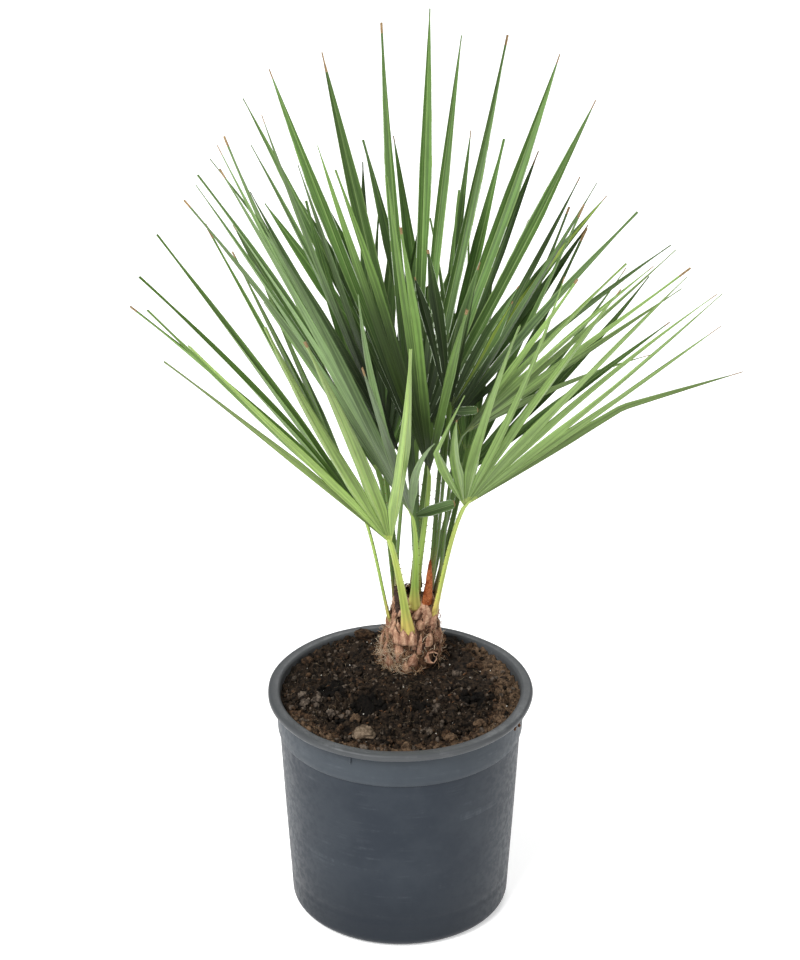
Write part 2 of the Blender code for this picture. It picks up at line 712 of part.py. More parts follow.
def build():
    clear_scene()
    parts = make_collection("potted_european_fan_palm")
    cutters = make_collection("cutters")
    plastic = make_material("slate_plastic", (0.045, 0.055, 0.065), 0.5)
    earth = make_material("moist_soil", (0.035, 0.022, 0.014), 0.95)
    bark = make_material("fibrous_trunk", (0.20, 0.11, 0.055), 0.9)
    stalk_green = make_material("stalk_green", (0.24, 0.38, 0.07), 0.5)
    leaf_green = make_material("leaf_green", (0.07, 0.19, 0.06), 0.5)
    dry_brown = make_material("dry_sheath", (0.42, 0.17, 0.06), 0.8)

    limbs = {}
    for frond in FRONDS:
        radii = stalk_radii(frond.stalk, min(frond.stalk, STALK_HAND_RADIUS))
        limbs[f"stalk_{frond.name}"] = (stalk_line(frond), radii, stalk_green)
    for name, ring, bearing, end, foot_radius, end_radius in SMALL_LIMBS:
        points = limb_line(ring, bearing, end, np.array([0.0, 0.0, 1.0]))
        colour = stalk_green if name == "spear" else dry_brown
        limbs[name] = (points, stalk_radii(foot_radius, end_radius), colour)
    shells = [tube_shell(points, radii, CLEARANCE) for points, radii, _ in limbs.values()]

    make_pot(plastic, parts, cutters)
    make_soil(earth, parts)
    make_trunk(shells, bark, parts, cutters)
    core_cutter = trunk_core("trunk_room", GAP, None, cutters)
    for name, (points, radii, material) in limbs.items():
        make_limb(name, points, radii, core_cutter, material, parts)
    palms = [palm_shell(frond) for frond in FRONDS]
    for frond, bends in zip(FRONDS, place_leaflets(shells + palms)):
        make_fan(frond, bends, leaf_green, parts)
    for obj in parts.objects:
        if obj.name in ("pot", "soil"):
            obj.data.shade_smooth()


build()
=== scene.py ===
"""Potted European fan palm: the finish of every surface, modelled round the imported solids.

Metres, +Z up, +Y away from the camera, as in the frame. The pot, the soil, the trunk and the
stalks are raised ring by ring with the modelling operators. The crown repeats the rule of the
solids: a stalk rises from the trunk to a hand, and the leaflets of the fan spread from the hand.
Here each leaflet is a folded blade with its rib, its margins, its twist and its own tip.
"""

import math
from collections import namedtuple

import bpy
import numpy as np
from mathutils import Matrix, Vector, noise
from mathutils.bvhtree import BVHTree

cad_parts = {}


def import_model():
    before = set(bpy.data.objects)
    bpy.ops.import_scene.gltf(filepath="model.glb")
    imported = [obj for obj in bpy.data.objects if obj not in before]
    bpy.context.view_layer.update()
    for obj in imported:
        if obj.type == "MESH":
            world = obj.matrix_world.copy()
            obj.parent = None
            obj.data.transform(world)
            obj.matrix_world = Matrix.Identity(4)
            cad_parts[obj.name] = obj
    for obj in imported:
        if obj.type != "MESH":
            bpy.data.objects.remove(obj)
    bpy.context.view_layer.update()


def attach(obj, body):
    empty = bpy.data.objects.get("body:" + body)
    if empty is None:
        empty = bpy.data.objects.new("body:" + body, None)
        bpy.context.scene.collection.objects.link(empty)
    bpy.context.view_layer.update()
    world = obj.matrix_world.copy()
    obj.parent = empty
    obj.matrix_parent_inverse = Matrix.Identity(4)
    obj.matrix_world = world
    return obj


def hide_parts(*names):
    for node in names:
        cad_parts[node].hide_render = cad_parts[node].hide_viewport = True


# The camera, for an image of 800 x 960
CAMERA_PLACE = (0.0, -3.0, 1.971)
CAMERA_PITCH = 27.27
CAMERA_FOCAL_PIXELS = 3861
IMAGE_HEIGHT = 960
SENSOR = 36.0

# The pot, as in the source of the solids, with finer steps. It is turned from POT_CENTRE outwards
POT_HEIGHT = 0.215
LIP_RADIUS = 0.120
LIP_DEPTH = 0.0070
LIP_CORNER = 0.0032
BAND_TOP_RADIUS = 0.1120
BAND_FOOT_RADIUS = 0.1102
BAND_FOOT_Z = 0.178
BAND_CHAMFER = 0.0010
BODY_TOP_RADIUS = 0.1085
BODY_FOOT_RADIUS = 0.0985
FOOT_CORNER = 0.010
POT_WALL = 0.0030
POT_CENTRE = 0.004
DRAIN_HOLES = 8
DRAIN_RADIUS = 0.006
DRAIN_CIRCLE = 0.070
POT_SIDES = 192
# Moulded plastic is never quite round: waves of the lip and the body, a faint line over the
# foot, and the short upright rib under the lip: (bearing, depth, width, height, rounding)
LIP_WAVE = 0.00040
BODY_WAVE = 0.00040
FOOT_LINE_Z = 0.030
FOOT_LINE_DEPTH = 0.0005
SMOOTH_ANGLE = 35
MOULD_RIB = (-113.0, 0.0024, 0.0018, 0.0105, 0.0005)

# The soil, as in the source of the solids, with finer lumps: (rate, height) of each size
SOIL_EDGE_Z = 0.204
SOIL_MOUND_Z = 0.212
SOIL_PLATEAU = 0.040
SOIL_SLOPE = 0.080
SOIL_LUMPS = 0.0040
SOIL_LUMP_RATE = 45
SOIL_SIDES = 300
SOIL_RINGS = 100
SOIL_RADIUS = 0.1084
# Where the soil meets the pot's wall, as (radius, z) from the floor up to the band
SOIL_SIDE = ((0.0955, 0.008), (0.1048, 0.170), (0.1070, 0.180))
SOIL_SIDE_TOP = 0.200
# Within this distance of the trunk the soil is level
LEVEL_SOIL = 0.028
FINE_LUMPS = ((62, 0.0042), (120, 0.0064), (230, 0.0042), (430, 0.0018))
# Hollows in the soil: (x, y, radius, depth), and the smooth watered patch: (x, y, radius)
PITS = ((-0.028, -0.016, 0.016, 0.0120), (0.065, -0.006, 0.012, 0.0060), (-0.062, 0.010, 0.012, 0.0045),
        (0.020, -0.020, 0.009, 0.0035), (-0.050, -0.045, 0.008, 0.0035))
SMOOTH_PATCH = (0.068, 0.038, 0.030)
# How many crumbs there are, how finely each is modelled, their least and largest radius, and
# how rare the large ones are: two kinds of grit, and small clods
FINE_GRIT = (3000, 1, 0.0006, 0.0014, 2.0)
COARSE_GRIT = (1300, 2, 0.0012, 0.0027, 1.5)
SMALL_CLODS = (210, 3, 0.0024, 0.0052, 1.7)
CRUMB_RADIUS = 0.1065
CRUMB_CLEAR = 0.029
CRUMB_SHAPES = 14
CLOD_LEVEL = 4
# Large clods: (x, y, half length, half width, half height, tone)
CLODS = (
    (-0.032, -0.067, 0.0150, 0.0085, 0.0066, 4), (-0.040, -0.044, 0.0060, 0.0055, 0.0075, 2),
    (-0.074, -0.012, 0.0055, 0.0050, 0.0048, 3), (-0.086, -0.018, 0.0050, 0.0045, 0.0042, 3),
    (-0.062, -0.034, 0.0058, 0.0052, 0.0048, 3), (-0.034, 0.096, 0.0110, 0.0070, 0.0058, 1),
    (0.093, 0.020, 0.0060, 0.0065, 0.0040, 2), (0.088, 0.002, 0.0045, 0.0040, 0.0035, 2),
    (0.045, -0.072, 0.0062, 0.0050, 0.0042, 2), (0.026, -0.066, 0.0048, 0.0044, 0.0042, 3),
    (0.052, 0.030, 0.0050, 0.0044, 0.0040, 3), (0.066, 0.046, 0.0058, 0.0046, 0.0040, 1),
    (-0.052, 0.060, 0.0060, 0.0050, 0.0044, 1), (-0.078, 0.036, 0.0048, 0.0044, 0.0038, 3),
    (0.006, -0.090, 0.0052, 0.0042, 0.0040, 2), (0.070, -0.052, 0.0060, 0.0048, 0.0044, 2),
)
# How many grains of white grit, bark chips, fine roots, and dry bits under the lip there are,
# and how near the trunk they lie
WHITE_GRIT = 38
BARK_CHIPS = 60
FINE_ROOTS = 90
LIP_BITS = 7
LITTER_SHAPES = 8
LITTER_CLEAR = 0.033
LIP_BITS_RADIUS = 0.1128

# Gap kept wherever one solid meets another
GAP = 0.0003

# The trunk stands behind the middle of the pot
TRUNK_X = 0.009
TRUNK_Y = 0.056
TRUNK_FOOT_Z = SOIL_MOUND_Z + GAP
TRUNK_LEAN = 0.08
# (height over the soil, radius): flared foot, waist, and the domed top that the stalks leave
TRUNK_PROFILE = (
    (0.000, 0.0255),
    (0.008, 0.0275),
    (0.020, 0.0265),
    (0.036, 0.0228),
    (0.052, 0.0200),
    (0.064, 0.0175),
    (0.074, 0.0115),
    (0.078, 0.0040),
)
# Stalks: thick at the foot, round, and slender at the hand
STALK_HAND_RADIUS = 0.0028
STALK_STATIONS = 7
STALK_SINK = 0.006
STALK_SPLAY = 0.25
STALK_END_GAP = 0.0014
# How far the foot and the hand rule a stalk's curve, as shares of its span, and how its
# radius falls from the foot
STALK_RISE_SHARE = 0.24
STALK_ARRIVE_SHARE = 0.20
STALK_TAPER = 1.3
# Limbs with no fan: name, ring and bearing of the foot, end, and radius at the foot and the end
SMALL_LIMBS = (
    ("spear", 0.0010, 90, (0.000, 0.074, 0.580), 0.0028, 0.0010),
    ("dry_sheath", 0.0130, -55, (0.0255, 0.036, 0.327), 0.0034, 0.0008),
    ("dead_stub", 0.0180, -140, (-0.003, 0.036, 0.298), 0.0024, 0.0010),
)

# Leaflets: V-folded blades that part from their neighbours at SPLIT_SHARE of the fan's reach
LEAFLET_HALF_WIDTH = 0.0062
LEAFLET_WIDEST = 0.64
LEAFLET_TAPER = 0.80
LEAFLET_FOLD = 0.40
LEAFLET_STATIONS = 4
ROOM_SHARE = 0.80
SPLIT_SHARE = 0.16
SIDE_SHORTENING = 0.12
UNEVENNESS = 0.10
# Leaflets stand in bunches, with this extra gap between two, in steps of the leaflets. Each
# one sways by up to these degrees, turned with its neighbours and lifted on its own
BUNCH_GAP = 1.2
SWAY_TURN = 2.0
SWAY_LIFT = 4.0
# Leaflets whose end broke off, or that grew on: their share of the rule's length, by fan and number
LENGTH_SHARES = {
    ("front_low", 2): 0.92,
    ("front_low", 4): 1.11,
    ("right_low", 0): 1.08,
    ("left_long", 1): 0.85,
    ("left_long", 10): 0.80,
    ("left_low", 2): 0.90,
    ("back_tall", 4): 0.985,
    ("back_tall", 6): 0.945,
    ("back_tall", 7): 0.96,
    ("right_low", 8): 0.70,
    ("right_low", 9): 0.76,
}
# Leaflets that kinked: where in their free part, and by how many degrees they turn there
KINKED = {("right_low", 0): (0.45, -32), ("right_low", 9): (0.5, -30)}
# Thickness of the blade as a share of the fan's reach, and its least value
BLADE_THICKNESS_SHARE = 0.0105
BLADE_THICKNESS_LEAST = 0.0030
SEED = 7
# A leaflet that meets something is turned or lifted by these degrees, or cut to these shares
TURNS = (0, 2, -2, 4, -4, 7, -7)
LIFTS = (0, 3, -3, 6, -6, 9, -9)
CUTS = (1.0, 0.6, 0.35)
CLEARANCE = 0.0006

# The fronds, those that the viewer sees first in front. ring, foot_bearing: how far out on the
# trunk's top, and on which side, the stalk stands; stalk: its radius there; hand: where it
# ends; bearing, rise, roll: the fan's axis, in degrees from +X and over the horizon, and the
# fan's turn about it; first, last: the fan's two sides, in degrees from that axis; reach: length
# of the longest leaflet; droop: share of it by which the tips fall; bunches: how many leaflets
# stand together, from the first side to the last
Frond = namedtuple(
    "Frond", "name ring foot_bearing stalk hand bearing rise roll first last reach droop bunches"
)
FRONDS = (
    Frond("front_low", 0.0214, -104, 0.0052, (-0.008, -0.030, 0.377), -112, 55, -7,
          -19, 22, 0.388, 0.03, (1, 0, 1, 1, 2)),
    Frond("left_long", 0.0155, -95, 0.0046, (0.011, 0.020, 0.378), 149, 55, -46,
          -74, 36, 0.415, 0.03, (1, 2, 1, 3, 1, 2, 1)),
    Frond("right_low", 0.0192, -32, 0.0034, (0.057, 0.020, 0.388), -8, 51, 40,
          -34, 64, 0.325, 0.03, (3, 2, 2, 1, 2)),
    Frond("left_low", 0.0210, 185, 0.0027, (-0.034, 0.060, 0.362), 174, 51, -4,
          -20, 62, 0.345, 0.03, (2, 1, 1, 0, 4)),
    Frond("young_middle", 0.0070, -90, 0.0030, (0.026, 0.050, 0.405), -116, 73, 38,
          -27, 37, 0.365, 0.02, (1, 2, 1, 2)),
    Frond("young_short", 0.0105, -20, 0.0026, (0.043, 0.040, 0.471), 60, 78, 0,
          -25, 30, 0.150, 0.00, (2, 1, 2)),
    Frond("right_old", 0.0165, -5, 0.0036, (0.056, 0.080, 0.429), 8, 42, 40,
          -50, 38, 0.275, 0.03, (1, 2, 1, 1, 2)),
    Frond("left_high", 0.0145, 190, 0.0032, (0.001, 0.050, 0.422), 159, 62, -15,
          -22, 28, 0.340, 0.03, (2, 1, 2, 1)),
    Frond("right_high", 0.0125, 35, 0.0034, (0.042, 0.071, 0.439), 50, 42, 25,
          -20, 45, 0.290, 0.03, (1, 2, 1, 2)),
    Frond("back_tall", 0.0095, 90, 0.0040, (0.0145, 0.092, 0.409), 84, 65, -10,
          -29, 31, 0.425, 0.03, (2, 1, 1, 2, 1, 1, 2)),
    Frond("back_shaded", 0.0150, 95, 0.0034, (0.028, 0.128, 0.408), 88, 68, 0,
          -40, 42, 0.300, 0.03, (3, 2, 3, 2)),
    Frond("inner_left", 0.0142, 150, 0.0032, (-0.014, 0.104, 0.386), 116, 69, 0,
          -34, 34, 0.280, 0.02, (2, 3, 3)),
    Frond("inner_right", 0.0175, 25, 0.0032, (0.060, 0.108, 0.392), 66, 70, 0,
          -34, 34, 0.270, 0.02, (3, 2, 3)),
    Frond("back_left", 0.0205, 135, 0.0036, (-0.018, 0.130, 0.360), 124, 48, 0,
          -38, 50, 0.300, 0.04, (3, 2, 3, 2)),
    Frond("back_right", 0.0205, 58, 0.0036, (0.052, 0.132, 0.355), 62, 47, 0,
          -44, 40, 0.290, 0.04, (2, 3, 2, 3)),
)


# The trunk's core: its sides and rings, its top, and how far it lies inside the leaf bases
TRUNK_SIDES = 96
TRUNK_RINGS = 60
CORE_TOP = 0.062
CORE_INSET = 0.0018
# The rows of old leaf bases: how many stand in the lowest, how far each row is turned from the
# one below, and the heights of the lowest and the highest row
SCALE_ROWS = 8
LOWEST_ROW_COUNT = 11
ROW_TURN = 139
SCALE_LOWEST = 0.001
SCALE_HIGHEST = 0.056
# Each old leaf base: its grid of points, its thickness, and how far its middle bulges
SCALE_GRID = (10, 11)
SCALE_THICKNESS = 0.0009
SCALE_DOME = 0.0026
# The pairs of tones for the middle and the sides of an old leaf base, and their odds: the sides are mostly
# darker, partly painted shade of the curved scale
SCALE_TONES = ((1, 0), (0, 2), (0, 0), (1, 0), (2, 2))
SCALE_TONE_ODDS = (0.32, 0.28, 0.14, 0.12, 0.14)
# The tone of its torn rim, from a row of its grid on, and the dark tone of its inner side, painted shade
# under the scale
RIM_TONE = 3
RIM_FROM_ROW = 7
INNER_SHADE_TONE = 2
# The slender torn ones near the trunk's top
TORN_SHEATHS = 24
# The loose fibres, their height, and the odds of their tones
HAIRS = 1000
HAIR_TOP = 0.064
HAIR_TONE_ODDS = (0.42, 0.38, 0.20)
# A beard of pale hairs low on the trunk's left: its height and its bearings
PALE_HAIRS = 220
PALE_HAIR_TOP = 0.026
PALE_HAIR_SIDE = (-175, -95)
# The cut stub low on the front's right
STUB_HEIGHT = 0.022
STUB_BEARING = -45
STUB_SIDES = 24
# (depth, radius) from the stub's foot over its rim into the hollow, the tone of each step, and
# those of the two ends
STUB_RINGS = ((0.0, 0.0060), (0.003, 0.0061), (0.0058, 0.0059), (0.0066, 0.0053), (0.0062, 0.0044),
              (0.0035, 0.0041), (0.0008, 0.0038))
# Tone 4, deep in the hollow and on both ends, is painted shade inside the stub
STUB_MARKS = (1, 0, 0, 1, 4, 4)
STUB_CAPS = (4, 4)
STUB_DROP = 0.019
# How far from the stub no leaf base or fibre grows, in degrees and up to which height
STUB_ROOM = (19, 0.018)
# The finer stalks: sides, rings, and the tongue by which each runs on into the heart of its fan
STALK_SIDES = 24
STALK_RINGS = 48
TONGUE_RINGS = 4
TONGUE_LENGTH = 0.009
# A small hooked thorn: (share of its length, half thickness)
SPINE_RINGS = ((0.0, 0.00065), (0.45, 0.00038), (1.0, 0.00005))
# The limbs with no fan, as finer pieces
SMALL_LIMB_SIDES = 36
SMALL_LIMB_RINGS = 40
SPEAR_RADIUS = 0.0028
SHEATH_HALF_WIDTH = 0.0056
STUMP_RADIUS = 0.0024
# Places in a fan's list of materials, after the three shades
HEART = 9
DRY = 10
WOOL = 11
GOLD = 12
# Old leaf bases that wrap the feet of the stalks: (height, bearing, how far they stand out),
# their length and half width, and their tones
WRAPS = ((0.030, -106, 0.0056), (0.029, -120, 0.0044), (0.029, -91, 0.0046), (0.036, 182, 0.0018),
         (0.044, -40, 0.0018), (0.034, -142, 0.0020), (0.046, -62, 0.0018), (0.052, -50, 0.0014),
         (0.055, -30, 0.0014), (0.048, -20, 0.0014), (0.058, -66, 0.0014))
WRAP_SIZE = (0.017, 0.0052)
# A tan middle and darker brown sides: partly painted shade of the curved scale
WRAP_TONES = (1, 0)
# Directions
UPWARDS = np.array([0.0, 0.0, 1.0])
RIGHTWARDS = np.array([1.0, 0.0, 0.0])
# The stage: the floor, the light from all round, what the lamps aim at, and each lamp's name,
# place, size and power
FLOOR_SIZE = 40.0
FLOOR_GREY = (0.96, 0.96, 0.96)
WORLD_STRENGTH = 0.30
FLOOR_GLOW = 0.40
LAMP_AIM = (0.0, 0.05, 0.35)
LAMPS = (
    ("key_lamp", (-1.4, -1.9, 2.7), 1.8, 146.0),
    ("fill_lamp", (1.9, -1.4, 1.6), 1.6, 19.0),
    ("back_lamp", (0.4, 2.0, 2.3), 1.4, 34.0),
)

# Finer leaflets: columns across a blade (1 is the margin), stations along it, and how fast the
# pattern of its veins runs along it
COLUMNS = (-1.0, -0.90, -0.62, -0.32, -0.06, 0.0, 0.06, 0.32, 0.62, 0.90, 1.0)
FUSED_STATIONS = 8
FREE_STATIONS = 32
UV_RATE = 60
HEART_START = 0.0015
PARTING = 0.30
WEB_MOST = 1.25
BLADE_TAPER = 0.84
BREADTHS = (0.74, 1.14)
# Fans with slender leaflets: where they are broadest, and their breadth against the others
SLENDER = {
    "front_low": (0.42, 0.92), "left_low": (0.40, 0.82), "right_low": (0.36, 0.84),
    "right_old": (0.44, 0.66), "left_high": (0.46, 0.84), "left_long": (0.52, 0.94),
    "right_high": (0.46, 0.74), "inner_right": (0.46, 0.74), "back_right": (0.46, 0.80),
}
# Thickness across a blade, the depth of its fold, its tips, and how much each leaflet twists
# and curves
MARGIN_THICKNESS = 0.00035
MIDDLE_THICKNESS = 0.00055
RIB_THICKNESS = 0.0010
FOLD_AT_HAND = 1.0
FOLD_AT_TIP = 0.90
TIP_HALF_WIDTH = 0.0006
BLUNT_HALF_WIDTH = 0.0013
BLUNT_ODDS = 0.35
CUT_END = 0.006
TWIST_MOST = 50
CURVE_MOST = 0.009
# Fans whose leaflets were all clipped blunt
CLIPPED = ("front_low", "left_low")
# How often a leaflet of a woolly fan has wool, and how much of its margin, how often a leaflet
# has a golden streak, and the odds of 0, 1 or 2 dry stations at its tip
WOOL_ODDS = 0.8
WOOL_SHARE = 0.60
GOLD_ODDS = 0.04
DRY_ODDS = (0.50, 0.35, 0.15)
# The heart of the crown, where little light gets in: its middle and half its size
CROWN_HEART = (0.010, 0.075, 0.485)
CROWN_HEART_SIZE = (0.060, 0.068, 0.125)
# Leaflets that were cut off close to the hand: (fan, bearing, rise, length, half width)
CUT_SHORT = (("left_long", -12, 24, 0.042, 0.0048), ("young_short", -8, 8, 0.026, 0.0040))

# What the fronds look like: upper side, underside, rib and heart, as colours from 0 to 255
Look = namedtuple("Look", "upper under rib heart")
LOOKS = {
    "fresh": Look((104, 130, 60), (122, 146, 76), (140, 160, 86), (164, 180, 92)),
    "light": Look((104, 130, 68), (120, 146, 82), (136, 158, 92), (158, 178, 94)),
    "grey": Look((84, 110, 60), (100, 124, 76), (116, 138, 86), (128, 148, 90)),
    "middle": Look((74, 102, 42), (94, 122, 58), (110, 136, 68), (130, 148, 78)),
    "deep": Look((80, 108, 52), (100, 126, 68), (116, 140, 80), (118, 140, 76)),
    "shade": Look((76, 104, 50), (92, 118, 62), (104, 130, 70), (98, 122, 66)),
}
FROND_LOOKS = {
    "front_low": "fresh", "left_long": "grey", "right_low": "light", "left_low": "middle",
    "young_middle": "middle", "young_short": "grey", "right_old": "light", "left_high": "grey",
    "right_high": "grey", "back_tall": "deep", "back_shaded": "shade", "inner_left": "shade",
    "inner_right": "deep", "back_left": "deep", "back_right": "deep",
}
# Three shades of each green: leaflets differ in tone at random, and the two halves of a leaflet in two shades
# are painted fold shade
SHADES = (1.0, 1.24, 0.70)
SHADE_ODDS = (0.45, 0.27, 0.28)
# The fans with pale wool on the margins of their leaflets
WOOLLY = ("young_middle", "young_short", "back_tall", "left_long")
# Stalk colours at the foot, the middle and the hand, and the fronds that have them
STALK_LOOKS = {
    "bright": ((208, 192, 106), (176, 190, 96), (164, 184, 94)),
    "leafy": ((170, 164, 86), (134, 160, 74), (142, 166, 80)),
    "dark": ((120, 112, 62), (80, 104, 46), (90, 116, 54)),
}
FROND_STALKS = {
    "front_low": "bright", "right_low": "bright", "left_long": "leafy", "left_low": "leafy",
    "young_middle": "leafy",
}
# Earthy finishes: (name, dark tone, light tone, size of the patches in metres)
SOIL_FINISHES = (
    ("soil_dark", (10, 7, 5), (66, 53, 41), 0.004),
    ("soil_brown", (24, 17, 12), (100, 77, 57), 0.004),
    ("soil_crust", (50, 39, 29), (126, 102, 80), 0.004),
    ("soil_grey", (44, 38, 33), (124, 110, 97), 0.004),
    ("soil_clump", (74, 62, 50), (150, 132, 112), 0.005),
    # Painted shade: the near black in the soil's hollows
    ("painted_pit_shade", (6, 5, 4), (28, 22, 17), 0.004),
)
LITTER_FINISHES = (
    ("white_grit", (170, 165, 155), (215, 212, 205), 0.002),
    ("bark_chip", (70, 46, 30), (124, 88, 60), 0.003),
    ("fine_root", (84, 72, 56), (150, 134, 110), 0.003),
)
CORE_FINISH = ("core_brown", (56, 40, 30), (142, 106, 80), 0.003)
BASE_FINISHES = (
    ("base_brown", (126, 90, 70), (206, 162, 136), 0.003),
    ("base_tan", (156, 118, 94), (232, 194, 164), 0.003),
    ("base_dark", (52, 36, 28), (114, 82, 66), 0.003),
    ("base_rim", (150, 118, 90), (222, 196, 166), 0.002),
    # Painted shade inside the cut stub's hollow
    ("painted_stub_shade", (10, 8, 7), (34, 25, 20), 0.002),
)
HAIR_FINISHES = (
    ("hair_tan", (168, 134, 100), (222, 192, 158), 0.003),
    ("hair_brown", (112, 78, 56), (164, 122, 92), 0.003),
    ("hair_pale", (204, 184, 156), (240, 226, 204), 0.003),
)
THORN_FINISHES = (
    ("thorn_tan", (120, 104, 62), (156, 138, 84), 0.002),
    ("thorn_dark", (46, 32, 22), (80, 56, 40), 0.002),
)
SHEATH_FINISH = ("sheath_orange", (118, 54, 26), (218, 136, 84), 0.006)
STUMP_FINISH = ("stump_grey", (52, 40, 36), (104, 84, 74), 0.003)
TIP_FINISH = ("dry_tip", (128, 104, 72), (170, 146, 110), 0.002)
WOOL_FINISH = ("white_wool", (160, 176, 146), (214, 222, 206), 0.0015)
# Plastics: (name, plain, dusty, rubbed, how much it is rubbed, roughness); the lip's paler, heavier rubs are
# partly a painted highlight
SLATE = ("slate_plastic", (38, 44, 52), (60, 66, 72), (94, 100, 106), 0.45, 0.42)
LIP_WEAR_AND_HIGHLIGHT = ("lip_plastic", (56, 58, 60), (72, 74, 76), (136, 137, 138), 0.75, 0.36)
LEAF_ROUGHNESS = 0.46
STALK_ROUGHNESS = 0.40
BLACK = (0.0, 0.0, 0.0, 1.0)
SPEAR_GREEN = (112, 148, 76)
STREAK_GOLD = (134, 156, 62)
SCAR_BROWN = (112, 78, 46)


# The rule of the crown, as in the source of the solids


def unit(vector):
    return vector / np.linalg.norm(vector)


def heading(bearing, rise):
    """The unit vector that points along a bearing, raised over the horizon."""
    turn, lift = math.radians(bearing), math.radians(rise)
    return np.array(
        [math.cos(turn) * math.cos(lift), math.sin(turn) * math.cos(lift), math.sin(lift)]
    )


def fan_axes(frond):
    """(aim, side, up) of a fan: along its middle leaflet, across it, and out of its upper side."""
    aim = heading(frond.bearing, frond.rise)
    level = unit(np.cross(aim, (0.0, 0.0, 1.0)))
    over = np.cross(level, aim)
    roll = math.radians(frond.roll)
    side = math.cos(roll) * level + math.sin(roll) * over
    return aim, side, np.cross(side, aim)


def leaflet_angles(frond):
    """Angles from the fan's axis, in radians: of the ribs, of the pleats between them, and the step."""
    places, place = [], 0.5
    for bunch in frond.bunches:
        places += [place + k for k in range(bunch)]
        place += bunch + BUNCH_GAP
    step = math.radians(frond.last - frond.first) / (places[-1] + 0.5)
    ribs = [math.radians(frond.first) + step * place for place in places]
    pleats = [(here + there) / 2 for here, there in zip(ribs, ribs[1:])]
    return ribs, [ribs[0] - step / 2] + pleats + [ribs[-1] + step / 2], step


def leaflet_lengths(frond):
    """Length of each leaflet: shorter towards the fan's sides, with a seeded unevenness."""
    rng = np.random.default_rng(SEED + FRONDS.index(frond))
    count = sum(frond.bunches)
    across = np.linspace(-1, 1, count)
    uneven = rng.uniform(1 - UNEVENNESS, 1, count)
    left = [LENGTH_SHARES.get((frond.name, index), 1.0) for index in range(count)]
    return frond.reach * (1 - SIDE_SHORTENING * across**2) * uneven * left


def leaflet_sway(frond):
    """(turn, lift) of each leaflet in degrees: a bunch turns as one, each leaflet lifts by itself."""
    rng = np.random.default_rng(SEED * len(FRONDS) + FRONDS.index(frond))
    sway = []
    for bunch in frond.bunches:
        turn = rng.uniform(-SWAY_TURN, SWAY_TURN)
        sway += [(turn, rng.uniform(-SWAY_LIFT, SWAY_LIFT)) for _ in range(bunch)]
    return sway


def rib_point(frond, angle, along, rise=0.0):
    """(point, across) at a distance from the hand, on a line at an angle from the fan's axis."""
    aim, side, up = fan_axes(frond)
    ahead = math.cos(angle) * aim + math.sin(angle) * side
    across = math.cos(angle) * side - math.sin(angle) * aim
    point = np.array(frond.hand) + ahead * along + up * (along * rise)
    point[2] -= frond.droop * frond.reach * (along / frond.reach) ** 2
    return point, across


def leaflet_point(frond, index, free, turn, lift):
    """(point, across, along) on a leaflet's rib at a share of its free part."""
    start = SPLIT_SHARE * frond.reach
    loose = leaflet_lengths(frond)[index] - start
    kink_at, kink = KINKED.get((frond.name, index), (1.0, 0.0))
    whole = min(free, kink_at)
    angle = leaflet_angles(frond)[0][index] + math.radians(turn) * whole
    point, across = rib_point(frond, angle, start + loose * whole, math.radians(lift) * whole)
    if free > kink_at:
        aim, side, _ = fan_axes(frond)
        angle += math.radians(kink)
        across = math.cos(angle) * side - math.sin(angle) * aim
        point = point + (math.cos(angle) * aim + math.sin(angle) * side) * loose * (free - kink_at)
    return point, across, start + loose * free


def half_width(along, length, step):
    """Half of a leaflet's width at a distance from the hand."""
    share = min(1.0, along / length)
    taper = min(1.0, (1 - share) / (1 - LEAFLET_WIDEST)) ** LEAFLET_TAPER
    return min(LEAFLET_HALF_WIDTH * taper, ROOM_SHARE * along * step / 2)


def leaflet_rows(frond, index, turn=0.0, lift=0.0, cut=1.0):
    """Rows of (left edge, rib, right edge) along the free part of one leaflet.

    The first row is the one that it shares with its neighbours. turn and lift, in degrees, bend
    the free part sideways and upwards, and cut is the share of the free part that is left.
    """
    up = fan_axes(frond)[2]
    ribs, pleats, step = leaflet_angles(frond)
    length = leaflet_lengths(frond)[index]
    start = SPLIT_SHARE * frond.reach
    crease = up * (LEAFLET_FOLD * math.tan(step / 2) * start / 2)
    angles = (pleats[index], ribs[index], pleats[index + 1])
    left, rib, right = (rib_point(frond, angle, start)[0] for angle in angles)
    rows = [(left + crease, rib - crease, right + crease)]
    for k in range(1, LEAFLET_STATIONS + 1):
        middle, across, along = leaflet_point(frond, index, cut * k / LEAFLET_STATIONS, turn, lift)
        half = half_width(along, length, step)
        crease = up * (LEAFLET_FOLD * half / 2)
        rows.append((middle - across * half + crease, middle - crease, middle + across * half + crease))
    return rows


def axis_point(height):
    """Middle of the leaning trunk at a height over its foot."""
    return np.array([TRUNK_X + TRUNK_LEAN * height, TRUNK_Y, TRUNK_FOOT_Z + height])


def foot_point(ring, bearing):
    """Point on the trunk's top, at a distance from its axis and on one side of it."""
    heights, radii = zip(*TRUNK_PROFILE[1:])
    height = np.interp(-ring, [-radius for radius in radii], heights)
    turn = math.radians(bearing)
    return axis_point(height) + ring * np.array([math.cos(turn), math.sin(turn), 0.0])


